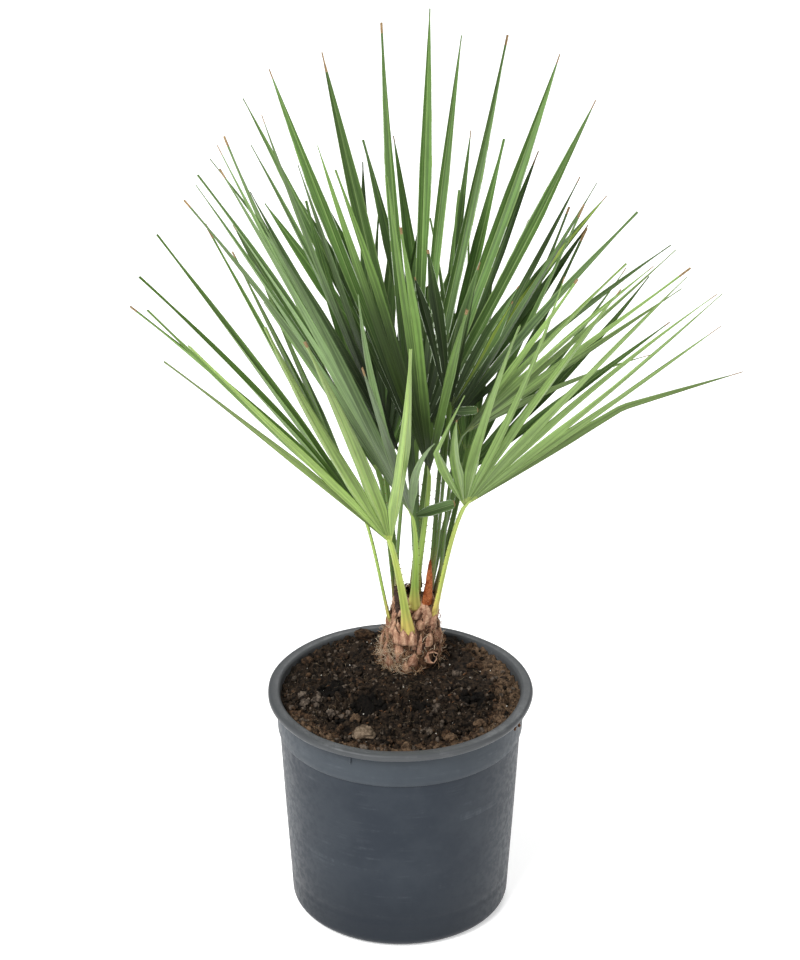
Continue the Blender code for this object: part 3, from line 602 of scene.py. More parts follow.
def limb_line(ring, bearing, end, aim, stations=STALK_STATIONS):
    """Points from inside the trunk's top to a limb's end, which it nears half along aim."""
    foot = foot_point(ring, bearing) - np.array([0.0, 0.0, STALK_SINK])
    end = np.array(end)
    span = np.linalg.norm(end - foot)
    turn = math.radians(bearing)
    leave = unit(np.array([STALK_SPLAY * math.cos(turn), STALK_SPLAY * math.sin(turn), 1.0]))
    arrive = unit(aim + unit(end - foot))
    first = foot + leave * span * STALK_RISE_SHARE
    second = end - arrive * span * STALK_ARRIVE_SHARE
    shares = [k / stations for k in range(stations + 1)]
    return [
        (1 - t) ** 3 * foot + 3 * (1 - t) ** 2 * t * first + 3 * (1 - t) * t**2 * second + t**3 * end
        for t in shares
    ]


def stalk_line(frond):
    """Centre line of a frond's stalk, which stops just short of the hand."""
    aim = fan_axes(frond)[0]
    end = np.array(frond.hand) - aim * STALK_END_GAP
    return limb_line(frond.ring, frond.foot_bearing, end, aim)


def stalk_radii(foot_radius, end_radius, stations=STALK_STATIONS):
    """A limb's radius at each station, most of its taper near the foot."""
    more = foot_radius - end_radius
    return [end_radius + more * (1 - k / stations) ** STALK_TAPER for k in range(stations + 1)]


def tube_shell(points, radii, room, sides=6):
    """Vertices and faces of a closed tube around a line."""
    points = np.array(points)
    ahead = np.gradient(points, axis=0)
    vertices, faces = [], []
    for k, (point, direction, radius) in enumerate(zip(points, ahead, radii)):
        first = unit(np.cross(direction, (0.0, 1.0, 0.2)))
        second = unit(np.cross(direction, first))
        for side in range(sides):
            turn = math.tau * side / sides
            vertices.append(point + (radius + room) * (math.cos(turn) * first + math.sin(turn) * second))
            if k:
                here, left = k * sides + side, k * sides + (side + 1) % sides
                faces.append((here - sides, left - sides, left, here))
    faces.append(tuple(range(sides)))
    faces.append(tuple(range(len(vertices) - sides, len(vertices))))
    return vertices, faces


def leaflet_shell(rows, up, half_thickness, room):
    """Vertices and faces of the blade round a leaflet's rows, open where it joins the fan."""
    vertices, faces = [], []
    wide = unit(rows[0][2] - rows[0][0]) * room
    for k, (left, rib, right) in enumerate(rows):
        for point in (left - wide, rib, right + wide):
            vertices.append(point + up * (half_thickness + room))
        for point in (right + wide, rib, left - wide):
            vertices.append(point - up * (half_thickness + room))
        if k:
            for side in range(6):
                here, there = 6 * k + side, 6 * k + (side + 1) % 6
                faces.append((here - 6, there - 6, there, here))
    faces.append(tuple(range(len(vertices) - 6, len(vertices))))
    return vertices, faces


def palm_shell(frond):
    """Vertices and faces of the top and underside of a fan's undivided middle."""
    up = fan_axes(frond)[2]
    vertices, faces = [], []
    for index in range(sum(frond.bunches)):
        left, rib, right = leaflet_rows(frond, index)[0]
        for shift in (up, -up):
            shift = shift * (blade_thickness(frond) / 2 + CLEARANCE)
            start = len(vertices)
            vertices += [np.array(frond.hand) + shift, left + shift, rib + shift, right + shift]
            faces += [(start, start + 1, start + 2), (start, start + 2, start + 3)]
    return vertices, faces


def blade_thickness(frond):
    return max(BLADE_THICKNESS_LEAST, BLADE_THICKNESS_SHARE * frond.reach)


def bvh(shells):
    """One search tree over several shells."""
    vertices, faces = [], []
    for more_vertices, more_faces in shells:
        start = len(vertices)
        vertices += [tuple(vertex) for vertex in more_vertices]
        faces += [tuple(index + start for index in face) for face in more_faces]
    return BVHTree.FromPolygons(vertices, faces)


def place_leaflets(fixed):
    """For each frond the (turn, lift, cut) of its leaflets, or None where one is left out.

    fixed holds the shells that are there already. The rule bends a leaflet from its sway by the
    least that leaves it clear of the stalks, the other fans and its neighbours.
    """
    trials = [(turn, lift, cut) for cut in CUTS for lift in LIFTS for turn in TURNS]
    trials.sort(key=lambda trial: (-trial[2], abs(trial[0]) + abs(trial[1])))
    others = list(fixed)
    result = []
    for frond in FRONDS:
        up = fan_axes(frond)[2]
        thickness = blade_thickness(frond)
        around = bvh(others)
        own, bends = [], []
        for index, (sway_turn, sway_lift) in enumerate(leaflet_sway(frond)):
            chosen = None
            beside = bvh(own) if own else None
            for turn, lift, cut in trials:
                bend = (sway_turn + turn, sway_lift + lift, cut)
                rows = leaflet_rows(frond, index, *bend)
                whole = leaflet_shell(rows, up, thickness / 2, CLEARANCE)
                if bvh([whole]).overlap(around):
                    continue
                free = leaflet_shell(rows[1:], up, thickness / 2, CLEARANCE / 2)
                if beside and bvh([free]).overlap(beside):
                    continue
                chosen = bend
                own.append(free)
                others.append(whole)
                break
            bends.append(chosen)
        result.append(bends)
    return result


def trunk_radius(height):
    heights, radii = zip(*TRUNK_PROFILE)
    return np.interp(height, heights, radii)


# Materials


def colour(red, green, blue, shade=1.0):
    """A plain colour, given from 0 to 255 as it looks on screen, as the shader's linear value."""
    linear = []
    for value in (red, green, blue):
        value /= 255
        value = value / 12.92 if value <= 0.04045 else ((value + 0.055) / 1.055) ** 2.4
        linear.append(min(1.0, value * shade))
    return (*linear, 1.0)


class Nodes:
    """Short names for adding and linking the nodes of one tree."""

    def __init__(self, tree):
        self.tree = tree

    def add(self, kind, settings=None, **inputs):
        node = self.tree.nodes.new(kind)
        for name, value in (settings or {}).items():
            setattr(node, name, value)
        for name, value in inputs.items():
            self.feed(node, name.replace("_", " "), value)
        return node

    def feed(self, node, name, value):
        numbered = name[0] == "i" and name[1:].isdigit()
        socket = node.inputs[int(name[1:])] if numbered else node.inputs[name]
        if isinstance(value, bpy.types.NodeSocket):
            self.tree.links.new(value, socket)
        else:
            socket.default_value = value

    def math(self, operation, first, second=0.0, clamp=False):
        settings = {"operation": operation, "use_clamp": clamp}
        return self.add("ShaderNodeMath", settings, i0=first, i1=second).outputs[0]

    def ramp(self, value, low, high, to_low=0.0, to_high=1.0):
        node = self.add("ShaderNodeMapRange", {"interpolation_type": "SMOOTHSTEP"}, Value=value)
        for name, number in zip(("From Min", "From Max", "To Min", "To Max"), (low, high, to_low, to_high)):
            node.inputs[name].default_value = number
        return node.outputs[0]

    def mix(self, share, first, second):
        node = self.add("ShaderNodeMix", {"data_type": "RGBA"})
        for index, value in ((0, share), (6, first), (7, second)):
            if isinstance(value, bpy.types.NodeSocket):
                self.tree.links.new(value, node.inputs[index])
            else:
                node.inputs[index].default_value = value
        return node.outputs[2]

    def noise(self, vector, scale, detail=3.0, roughness=0.55):
        inputs = {"Vector": vector, "Scale": scale, "Detail": detail, "Roughness": roughness}
        return self.add("ShaderNodeTexNoise", None, **inputs).outputs[0]

    def scaled(self, vector, scale):
        return self.add("ShaderNodeMapping", None, Vector=vector, Scale=scale).outputs[0]

    def group(self, name, vector, **values):
        """Place a shared effect, with its own values."""
        node = self.add("ShaderNodeGroup", {"node_tree": bpy.data.node_groups[name]}, Vector=vector)
        for label, value in values.items():
            node.inputs[label].default_value = value
        return node.outputs


def make_group(name, inputs, outputs):
    """A shader node group with named sockets: its nodes, its input sockets and its output node."""
    tree = bpy.data.node_groups.new(name, "ShaderNodeTree")
    for label, kind, value in inputs:
        socket = tree.interface.new_socket(label, in_out="INPUT", socket_type=kind)
        if value is not None:
            socket.default_value = value
    for label, kind in outputs:
        tree.interface.new_socket(label, in_out="OUTPUT", socket_type=kind)
    nodes = Nodes(tree)
    return nodes, nodes.add("NodeGroupInput").outputs, nodes.add("NodeGroupOutput")


def veins_group():
    """Stripes and fine lines along a leaf or a stalk: a shade round 1, a height and patches."""
    nodes, given, out = make_group(
        "long_veins",
        [
            ("Vector", "NodeSocketVector", None),
            ("Lines", "NodeSocketFloat", 9.0),
            ("Strength", "NodeSocketFloat", 0.1),
            ("Stripes", "NodeSocketFloat", 4.0),
            ("Margin", "NodeSocketFloat", 0.0),
        ],
        [("Shade", "NodeSocketFloat"), ("Height", "NodeSocketFloat"), ("Patches", "NodeSocketFloat")],
    )
    parts = nodes.add("ShaderNodeSeparateXYZ", None, Vector=given["Vector"]).outputs
    across = nodes.math("MULTIPLY", parts[1], given["Lines"])
    along = nodes.math("MULTIPLY", parts[0], 0.35)
    line = nodes.add("ShaderNodeCombineXYZ", None, X=along, Y=across).outputs[0]
    fine = nodes.noise(line, 1.0, 2.0)
    wide = nodes.math("MULTIPLY", parts[1], given["Stripes"])
    slow = nodes.math("MULTIPLY", parts[0], 0.12)
    stripe = nodes.add("ShaderNodeCombineXYZ", None, X=slow, Y=wide, Z=7.0).outputs[0]
    stripe = nodes.ramp(nodes.noise(stripe, 1.0, 1.0), 0.38, 0.62)
    patches = nodes.noise(nodes.scaled(given["Vector"], (1.2, 1.4, 1.0)), 1.0, 3.0)
    both = nodes.math("ADD", nodes.math("MULTIPLY", fine, 0.30), nodes.math("MULTIPLY", patches, 0.30))
    both = nodes.math("ADD", both, nodes.math("MULTIPLY", stripe, 0.40))
    strength = nodes.math("MULTIPLY", given["Strength"], 4.0)
    swing = nodes.math("MULTIPLY", nodes.math("SUBTRACT", both, 0.5), strength)
    edge = nodes.ramp(nodes.math("ABSOLUTE", parts[1]), 0.80, 0.96)
    swing = nodes.math("ADD", swing, nodes.math("MULTIPLY", edge, given["Margin"]))
    nodes.feed(out, "Shade", nodes.math("ADD", swing, 1.0))
    nodes.feed(out, "Height", fine)
    nodes.feed(out, "Patches", nodes.ramp(patches, 0.35, 0.65))


def mottle_group():
    """Patches and fine grain at two sizes: masks from 0 to 1 and a height."""
    nodes, given, out = make_group(
        "mottle",
        [("Vector", "NodeSocketVector", None), ("Size", "NodeSocketFloat", 0.01)],
        [("Patches", "NodeSocketFloat"), ("Grain", "NodeSocketFloat"), ("Height", "NodeSocketFloat")],
    )
    rate = nodes.math("DIVIDE", 1.0, given["Size"])
    patches = nodes.noise(given["Vector"], rate, 4.0, 0.6)
    grain = nodes.noise(given["Vector"], nodes.math("MULTIPLY", rate, 9.0), 3.0, 0.65)
    nodes.feed(out, "Patches", nodes.ramp(patches, 0.35, 0.65))
    nodes.feed(out, "Grain", nodes.ramp(grain, 0.3, 0.7))
    coarse, fine = nodes.math("MULTIPLY", patches, 0.6), nodes.math("MULTIPLY", grain, 0.4)
    nodes.feed(out, "Height", nodes.math("ADD", coarse, fine))


def rubs_group():
    """A mask of rubbed streaks that run round the pot."""
    nodes, given, out = make_group(
        "rubbed_streaks", [("Vector", "NodeSocketVector", None)], [("Worn", "NodeSocketFloat")]
    )
    streaks = nodes.noise(nodes.scaled(given["Vector"], (9.0, 9.0, 190.0)), 1.0, 5.0, 0.7)
    rubs = nodes.noise(nodes.scaled(given["Vector"], (45.0, 45.0, 20.0)), 1.0, 6.0, 0.75)
    worn = nodes.math("MULTIPLY", nodes.ramp(streaks, 0.48, 0.78), nodes.ramp(rubs, 0.45, 0.75))
    nodes.feed(out, "Worn", worn)


def crown_shade_group():
    """A mask of the shadow inside the crown: most in its heart, none at its outside."""
    nodes, given, out = make_group(
        "crown_shade", [("Vector", "NodeSocketVector", None)], [("Shadow", "NodeSocketFloat")]
    )
    size = tuple(1 / value for value in CROWN_HEART_SIZE)
    middle = tuple(-value / half for value, half in zip(CROWN_HEART, CROWN_HEART_SIZE))
    inputs = {"Vector": given["Vector"], "Scale": size, "Location": middle}
    inside = nodes.add("ShaderNodeMapping", None, **inputs).outputs[0]
    away = nodes.add("ShaderNodeVectorMath", {"operation": "LENGTH"}, i0=inside).outputs["Value"]
    nodes.feed(out, "Shadow", nodes.ramp(away, 0.6, 1.6, 0.80, 0.0))


def new_material(name, roughness):
    """(material, nodes, shader) of a fresh material."""
    material = bpy.data.materials.new(name)
    material.use_nodes = True
    shader = material.node_tree.nodes["Principled BSDF"]
    shader.inputs["Roughness"].default_value = roughness
    return material, Nodes(material.node_tree), shader


def bump(nodes, shader, height, strength, distance):
    node = nodes.add("ShaderNodeBump", None, Height=height, Strength=strength, Distance=distance)
    nodes.feed(shader, "Normal", node.outputs[0])


def green_finish(nodes, shader, veins, plain, roughness):
    """Let the veins shade a green, its gloss and its relief."""
    shade = nodes.add("ShaderNodeHueSaturation", None, Color=plain, Value=veins["Shade"]).outputs[0]
    nodes.feed(shader, "Base Color", shade)
    gloss = nodes.ramp(veins["Height"], 0.2, 0.8, roughness - 0.06, roughness + 0.1)
    nodes.feed(shader, "Roughness", gloss)
    shader.inputs["Specular IOR Level"].default_value = 0.30
    bump(nodes, shader, veins["Height"], 0.7, 0.0005)


def green_material(name, plain, lines=13.0, strength=0.10, margin=0.0):
    """Leaf: a plain green with long stripes, fine veins, paler margins and painted shadow in the crown's
    heart.
    """
    material, nodes, shader = new_material(name, LEAF_ROUGHNESS)
    place = nodes.add("ShaderNodeUVMap").outputs[0]
    veins = nodes.group("long_veins", place, Lines=lines, Strength=strength, Margin=margin)
    # Painted shadow: the leaf darkens towards black in the heart of the crown
    inside = nodes.add("ShaderNodeTexCoord").outputs["Object"]
    shadow = nodes.group("crown_shade", inside)["Shadow"]
    green_finish(nodes, shader, veins, nodes.mix(shadow, plain, BLACK), LEAF_ROUGHNESS)
    return material


def stalk_material(name, foot, middle, hand):
    """Stalk: yellowish at its foot, where brown patches show, and paler again near the hand."""
    material, nodes, shader = new_material(name, STALK_ROUGHNESS)
    place = nodes.add("ShaderNodeUVMap").outputs[0]
    veins = nodes.group("long_veins", place, Lines=26.0, Strength=0.20, Stripes=12.0)
    along = nodes.add("ShaderNodeSeparateXYZ", None, Vector=place).outputs[0]
    patchy = nodes.math("ADD", along, nodes.math("MULTIPLY", veins["Patches"], 0.9))
    plain = nodes.mix(nodes.ramp(patchy, 1.2, 3.6), colour(*foot), colour(*middle))
    plain = nodes.mix(nodes.ramp(along, 6.0, 9.6), plain, colour(*hand))
    scar = nodes.ramp(patchy, 0.5, 1.3, 0.7, 0.0)
    plain = nodes.mix(scar, plain, colour(*SCAR_BROWN))
    green_finish(nodes, shader, veins, plain, STALK_ROUGHNESS)
    return material


def earthy_material(name, dark, light, size, roughness=0.95, distance=0.0008):
    """Soil, bark and dry fibre: two plain tones in patches, with grain."""
    material, nodes, shader = new_material(name, roughness)
    place = nodes.add("ShaderNodeTexCoord").outputs["Object"]
    mottle = nodes.group("mottle", place, Size=size)
    share = nodes.math("MULTIPLY", mottle["Patches"], mottle["Grain"])
    nodes.feed(shader, "Base Color", nodes.mix(share, colour(*dark), colour(*light)))
    gloss = nodes.ramp(mottle["Grain"], 0.0, 1.0, roughness - 0.12, roughness)
    nodes.feed(shader, "Roughness", gloss)
    shader.inputs["Specular IOR Level"].default_value = 0.12
    bump(nodes, shader, mottle["Height"], 0.8, distance)
    return material


def earthy_set(finishes):
    return [earthy_material(*finish) for finish in finishes]


def plastic_material(name, plain, pale, scuff_and_highlight, wear_and_highlight, roughness):
    """Matte plastic, dusty above the step, with rubbed streaks that run round it, and painted shade low down.
    """
    material, nodes, shader = new_material(name, roughness)
    place = nodes.add("ShaderNodeTexCoord").outputs["Object"]
    mottle = nodes.group("mottle", place, Size=0.05)
    worn = nodes.group("rubbed_streaks", place)["Worn"]
    height = nodes.add("ShaderNodeSeparateXYZ", None, Vector=place).outputs[2]
    dust = nodes.ramp(height, BAND_FOOT_Z - 0.002, BAND_FOOT_Z + 0.001, 0.0, 0.75)
    share = nodes.math("ADD", nodes.math("MULTIPLY", mottle["Patches"], 0.25), dust)
    body = nodes.mix(share, colour(*plain), colour(*pale))
    # Rubbed streaks in a paler colour; on the lip, paler and heavier, they are partly a painted highlight
    body = nodes.mix(nodes.math("MULTIPLY", worn, wear_and_highlight), body, colour(*scuff_and_highlight))
    # Painted shade: the plastic darkens towards the pot's foot
    shaded = tuple(value * 0.82 for value in plain)
    body = nodes.mix(nodes.ramp(height, 0.0, 0.09, 0.8, 0.0), body, colour(*shaded))
    nodes.feed(shader, "Base Color", body)
    gloss = nodes.ramp(mottle["Grain"], 0.0, 1.0, roughness - 0.07, roughness + 0.08)
    nodes.feed(shader, "Roughness", gloss)
    shader.inputs["Specular IOR Level"].default_value = 0.14
    bump(nodes, shader, mottle["Height"], 0.10, 0.0005)
    return material


# Modelling helpers


def deselect():
    bpy.ops.object.select_all(action="DESELECT")


def raised(name, profile, sides):
    """A closed round shape: a ring raised through the points (radius, z) of a profile."""
    deselect()
    bpy.ops.mesh.primitive_circle_add(vertices=sides, radius=profile[0][0], fill_type="NGON")
    piece = bpy.context.object
    piece.name = name
    bpy.ops.object.mode_set(mode="EDIT")
    bpy.ops.transform.translate(value=(0.0, 0.0, profile[0][1]))
    for (radius, z), (next_radius, next_z) in zip(profile, profile[1:]):
        bpy.ops.mesh.extrude_region_move(TRANSFORM_OT_translate={"value": (0.0, 0.0, next_z - z)})
        grow = next_radius / radius
        bpy.ops.transform.resize(value=(grow, grow, 1.0), center_override=(0.0, 0.0, next_z))
    bpy.ops.mesh.select_all(action="SELECT")
    bpy.ops.mesh.normals_make_consistent(inside=False)
    bpy.ops.object.mode_set(mode="OBJECT")
    return piece


def arc(centre_radius, centre_z, radius, first, last, steps):
    """Points of (radius, z) on an arc, by its angles in degrees."""
    turns = [math.radians(first + (last - first) * k / steps) for k in range(steps + 1)]
    return [(centre_radius + radius * math.cos(t), centre_z + radius * math.sin(t)) for t in turns]


def straight(start, end, steps):
    """Points of (radius, z) between two points, without the first."""
    shares = [k / steps for k in range(1, steps + 1)]
    return [(start[0] + (end[0] - start[0]) * s, start[1] + (end[1] - start[1]) * s) for s in shares]


def points_of(piece):
    """The vertices of a mesh as rows of an array."""
    flat = np.empty(3 * len(piece.data.vertices))
    piece.data.vertices.foreach_get("co", flat)
    return flat.reshape(-1, 3)


def set_points(piece, points):
    piece.data.vertices.foreach_set("co", np.asarray(points, dtype=float).ravel())
    piece.data.update()


def unroll(piece, along, around):
    """A UV map from two numbers for each vertex, the second one from 0 to 1 round the piece."""
    mesh = piece.data
    layer = mesh.uv_layers.active or mesh.uv_layers.new(name="UVMap")
    for face in mesh.polygons:
        places = [around[vertex] for vertex in face.vertices]
        seam = max(places) - min(places) > 0.5
        for loop, vertex, place in zip(face.loop_indices, face.vertices, places):
            layer.data[loop].uv = (along[vertex], place + 1.0 if seam and place < 0.5 else place)


class Batch:
    """Collects vertices, faces, material numbers and UVs, and makes one mesh of them."""

    def __init__(self):
        self.vertices, self.faces, self.marks, self.uvs = [], [], [], []
        self.count = 0

    def add(self, vertices, faces, marks, uvs=None):
        """marks: one material number a face, or one for all. uvs: one pair for each corner."""
        vertices = np.asarray(vertices, dtype=float).reshape(-1, 3)
        faces = np.asarray(faces, dtype=int)
        uvs = np.zeros((faces.size, 2)) if uvs is None else np.asarray(uvs, dtype=float)
        self.vertices.append(vertices)
        self.faces.append(faces + self.count)
        self.marks.append(np.broadcast_to(np.asarray(marks, dtype=int), (len(faces),)))
        self.uvs.append(uvs.reshape(-1, 2))
        self.count += len(vertices)

    def piece(self, name, materials, smooth=True):
        faces = [tuple(face) for block in self.faces for face in block.tolist()]
        mesh = bpy.data.meshes.new(name)
        mesh.from_pydata(np.concatenate(self.vertices).tolist(), [], faces)
        for material in materials:
            mesh.materials.append(material)
        mesh.polygons.foreach_set("material_index", np.concatenate(self.marks).astype(np.int32))
        mesh.polygons.foreach_set("use_smooth", np.full(len(faces), smooth))
        layer = mesh.uv_layers.new(name="UVMap")
        layer.data.foreach_set("uv", np.concatenate(self.uvs).ravel())
        mesh.update()
        piece = bpy.data.objects.new(name, mesh)
        bpy.context.scene.collection.objects.link(piece)
        return piece


def grid_faces(rows, columns):
    """Quads of a tube: rows of points, each row closed on itself."""
    row, column = np.meshgrid(np.arange(rows - 1), np.arange(columns), indexing="ij")
    after = (column + 1) % columns
    here, there = row * columns, (row + 1) * columns
    return np.stack([here + column, here + after, there + after, there + column], axis=-1).reshape(-1, 4)


def grid_uvs(along, around):
    """A pair for each corner of a tube's quads: along by its rows, around by its columns and one."""
    rows, columns = len(along), len(around) - 1
    row = np.repeat(np.arange(rows - 1), columns)
    column = np.tile(np.arange(columns), rows - 1)
    corners = [(row, column), (row, column + 1), (row + 1, column + 1), (row + 1, column)]
    return np.stack([np.stack([along[r], around[c]], axis=-1) for r, c in corners], axis=1)


def add_caps(batch, rings, marks):
    """Close both ends of a tube with a fan of triangles round the middle of its ring."""
    order = np.arange(rings.shape[1])
    after = (order + 1) % len(order)
    hub = np.full(len(order), len(order))
    for end, mark in zip((0, -1), marks):
        fan = np.stack([order, after, hub] if end else [after, order, hub], axis=-1)
        batch.add(np.vstack([rings[end], rings[end].mean(axis=0)]), fan, mark)


def add_tube(batch, rings, marks, cap_marks=None):
    """Add a closed tube given as an array of rings. marks: one number a face, or one for all."""
    rings = np.asarray(rings, dtype=float)
    rows, columns = rings.shape[:2]
    steps = np.linalg.norm(np.diff(rings.mean(axis=1), axis=0), axis=1)
    along = np.concatenate([[0.0], np.cumsum(steps)])
    marks = np.broadcast_to(np.asarray(marks, dtype=int), ((rows - 1) * columns,))
    uvs = grid_uvs(along, np.arange(columns + 1) / columns)
    batch.add(rings.reshape(-1, 3), grid_faces(rows, columns), marks, uvs)
    add_caps(batch, rings, cap_marks or (marks[0], marks[-1]))


def smooth(share):
    share = min(1.0, max(0.0, share))
    return share * share * (3 - 2 * share)


def mixed(first, second, share):
    return first + (second - first) * share


def settle(piece, slot, *nodes):
    """Let a finished piece ride on the plant's body, and stand for CAD nodes where it does."""
    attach(piece, "root")
    if nodes:
        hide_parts(*nodes)


# The pot


def make_pot(body, lip):
    """Underside, rounded foot, body, step, band, lip, and the inner wall down to the floor."""
    profile = [(POT_CENTRE, 0.0)]
    profile += straight(profile[0], (BODY_FOOT_RADIUS - FOOT_CORNER, 0.0), 5)
    profile += arc(BODY_FOOT_RADIUS - FOOT_CORNER, FOOT_CORNER, FOOT_CORNER, -90, 0, 8)[1:]
    step_z = BAND_FOOT_Z - BAND_CHAMFER
    profile += straight((BODY_FOOT_RADIUS, FOOT_CORNER), (BODY_TOP_RADIUS, step_z), 60)
    profile += [
        (BODY_TOP_RADIUS + 0.0003, step_z + 0.0002),
        (BAND_FOOT_RADIUS - 0.0003, BAND_FOOT_Z - 0.0001),
        (BAND_FOOT_RADIUS, BAND_FOOT_Z + 0.0004),
    ]
    lip_foot = POT_HEIGHT - LIP_DEPTH
    profile += straight((BAND_FOOT_RADIUS, BAND_FOOT_Z + 0.001), (BAND_TOP_RADIUS, lip_foot), 7)
    foot, top = lip_foot + LIP_CORNER, POT_HEIGHT - LIP_CORNER
    profile += arc(LIP_RADIUS - LIP_CORNER, foot, LIP_CORNER, -90, 0, 6)
    profile += arc(LIP_RADIUS - LIP_CORNER, top, LIP_CORNER, 0, 90, 6)
    inside = BAND_TOP_RADIUS - POT_WALL
    profile += arc(inside + LIP_CORNER, top, LIP_CORNER, 90, 180, 6)
    profile += straight(profile[-1], (BAND_FOOT_RADIUS - POT_WALL, BAND_FOOT_Z), 4)
    profile += [(BODY_TOP_RADIUS - POT_WALL, BAND_FOOT_Z - POT_WALL)]
    corner = FOOT_CORNER - POT_WALL
    profile += arc(BODY_FOOT_RADIUS - POT_WALL - corner, POT_WALL + corner, corner, 0, -90, 5)
    profile += [(POT_CENTRE, POT_WALL)]
    pot = raised("nursery_pot", profile, POT_SIDES)
    cut_drain_holes(pot)
    warp_pot(pot)
    pot.data.materials.append(body)
    pot.data.materials.append(lip)
    for face in pot.data.polygons:
        inward = face.normal.x * face.center.x + face.normal.y * face.center.y < 0
        above_band = face.center.z > lip_foot + 0.0010
        face.material_index = int(above_band or inward and face.center.z > 2 * POT_WALL)
    deselect()
    pot.select_set(True)
    bpy.context.view_layer.objects.active = pot
    bpy.ops.object.shade_smooth_by_angle(angle=math.radians(SMOOTH_ANGLE))
    settle(pot, "pot_plastic", "pot")


def warp_pot(pot):
    """Waves of the lip and the body, and the faint line over the foot."""
    points = points_of(pot)
    turn = np.arctan2(points[:, 1], points[:, 0])
    radius, z = np.hypot(points[:, 0], points[:, 1]), points[:, 2]
    high = np.clip((z - 0.19) / 0.02, 0, 1)
    wave = LIP_WAVE * high * (np.sin(3 * turn + 0.8) + 0.6 * np.sin(5 * turn) + 0.4 * np.sin(11 * turn + 2))
    middle = np.clip(1 - abs(z - 0.10) / 0.09, 0, 1)
    sway = BODY_WAVE * middle * (np.sin(4 * turn + 1.1) + 0.5 * np.sin(7 * turn))
    line = FOOT_LINE_DEPTH * np.exp(-(((z - FOOT_LINE_Z) / 0.0022) ** 2))
    shift = np.where(radius > 0.09, wave - 0.0008 * high + sway - line, 0.0)
    points[:, :2] *= (1 + shift / np.maximum(radius, 0.01))[:, None]
    points[:, 2] -= np.where(z > 0.2, abs(wave) * 0.8, 0)
    set_points(pot, points)


def cut_drain_holes(pot):
    """Eight round holes through the floor."""
    for k in range(DRAIN_HOLES):
        turn = math.tau * (k + 0.5) / DRAIN_HOLES
        place = (DRAIN_CIRCLE * math.cos(turn), DRAIN_CIRCLE * math.sin(turn), 0.0)
        deselect()
        bpy.ops.mesh.primitive_cylinder_add(
            vertices=28, radius=DRAIN_RADIUS, depth=4 * POT_WALL, location=place
        )
        hole = bpy.context.object
        cut = pot.modifiers.new("drain_hole", "BOOLEAN")
        cut.object = hole
        bpy.context.view_layer.objects.active = pot
        bpy.ops.object.modifier_apply(modifier="drain_hole")
        bpy.data.objects.remove(hole)


def make_mould_rib(material):
    """The short upright rib under the lip, with rounded edges."""
    bearing, depth, width, height, rounding = MOULD_RIB
    turn = math.radians(bearing)
    radius = BAND_TOP_RADIUS - 0.0002
    place = (radius * math.cos(turn), radius * math.sin(turn), POT_HEIGHT - LIP_DEPTH - height / 2 + 0.0005)
    deselect()
    bpy.ops.mesh.primitive_cube_add(size=1.0, location=place, rotation=(0.0, 0.0, turn))
    rib = bpy.context.object
    rib.name = "mould_rib"
    rib.scale = (depth, width, height)
    bpy.ops.object.transform_apply(location=True, rotation=True, scale=True)
    bpy.ops.object.mode_set(mode="EDIT")
    bpy.ops.mesh.select_all(action="SELECT")
    bpy.ops.mesh.bevel(offset=rounding, segments=3)
    bpy.ops.object.mode_set(mode="OBJECT")
    rib.data.shade_smooth()
    rib.data.materials.append(material)
    settle(rib, "pot_plastic")


# The soil


def soil_height(x, y):
    """Height of the soil: the mound and lumps of the solid."""
    away = math.hypot(x - TRUNK_X, y - TRUNK_Y)
    share = min(1.0, max(0.0, (away - SOIL_PLATEAU) / SOIL_SLOPE))
    mound = SOIL_MOUND_Z - SOIL_EDGE_Z
    lumps = SOIL_LUMPS * noise.noise((x * SOIL_LUMP_RATE, y * SOIL_LUMP_RATE, 0.0))
    return min(SOIL_MOUND_Z, SOIL_EDGE_Z + mound * (1 - smooth(share)) + lumps * share)


def rough_soil(x, y):
    """The soil's height with clods, crumbs and hollows, and one smooth watered patch."""
    patch_x, patch_y, patch_radius = SMOOTH_PATCH
    calm = math.exp(-(((x - patch_x) ** 2 + (y - patch_y) ** 2) / patch_radius**2) ** 2)
    height = soil_height(x, y) - 0.0015 * calm
    for number, (rate, most) in enumerate(FINE_LUMPS):
        lump = noise.noise(Vector((x * rate, y * rate, 3.7 * number + 0.4)))
        height += most * (0.35 - 1.3 * abs(lump) + 0.5 * lump) * (1 - 0.75 * calm)
    for pit_x, pit_y, radius, depth in PITS:
        height -= depth * math.exp(-((x - pit_x) ** 2 + (y - pit_y) ** 2) / radius**2)
    near = smooth((math.hypot(x - TRUNK_X, y - TRUNK_Y) - LEVEL_SOIL) / 0.01)
    return min(mixed(SOIL_MOUND_Z - 0.001, height, near), SOIL_MOUND_Z + 0.0015)


def in_pit(x, y):
    return any(math.hypot(x - pit_x, y - pit_y) < radius for pit_x, pit_y, radius, _ in PITS)


def soil_tone(x, y):
    """Which plain tone the soil has: 0 dark, 1 brown, 2 a dry crust near the rim, 5 painted shade in a
    hollow.
    """
    if in_pit(x, y):
        return 5
    rim = smooth((math.hypot(x, y) - 0.078) / 0.022)
    front = smooth((-y - 0.005) / 0.05)
    right = smooth((x - 0.045) / 0.04)
    patch = noise.noise(Vector((x * 60, y * 60, 0.0))) + 0.5 * noise.noise(Vector((x * 170, y * 170, 3.0)))
    dry = rim * max(front, right) + 0.40 * patch
    return 2 if dry > 0.66 else 1 if dry > 0.26 else 0


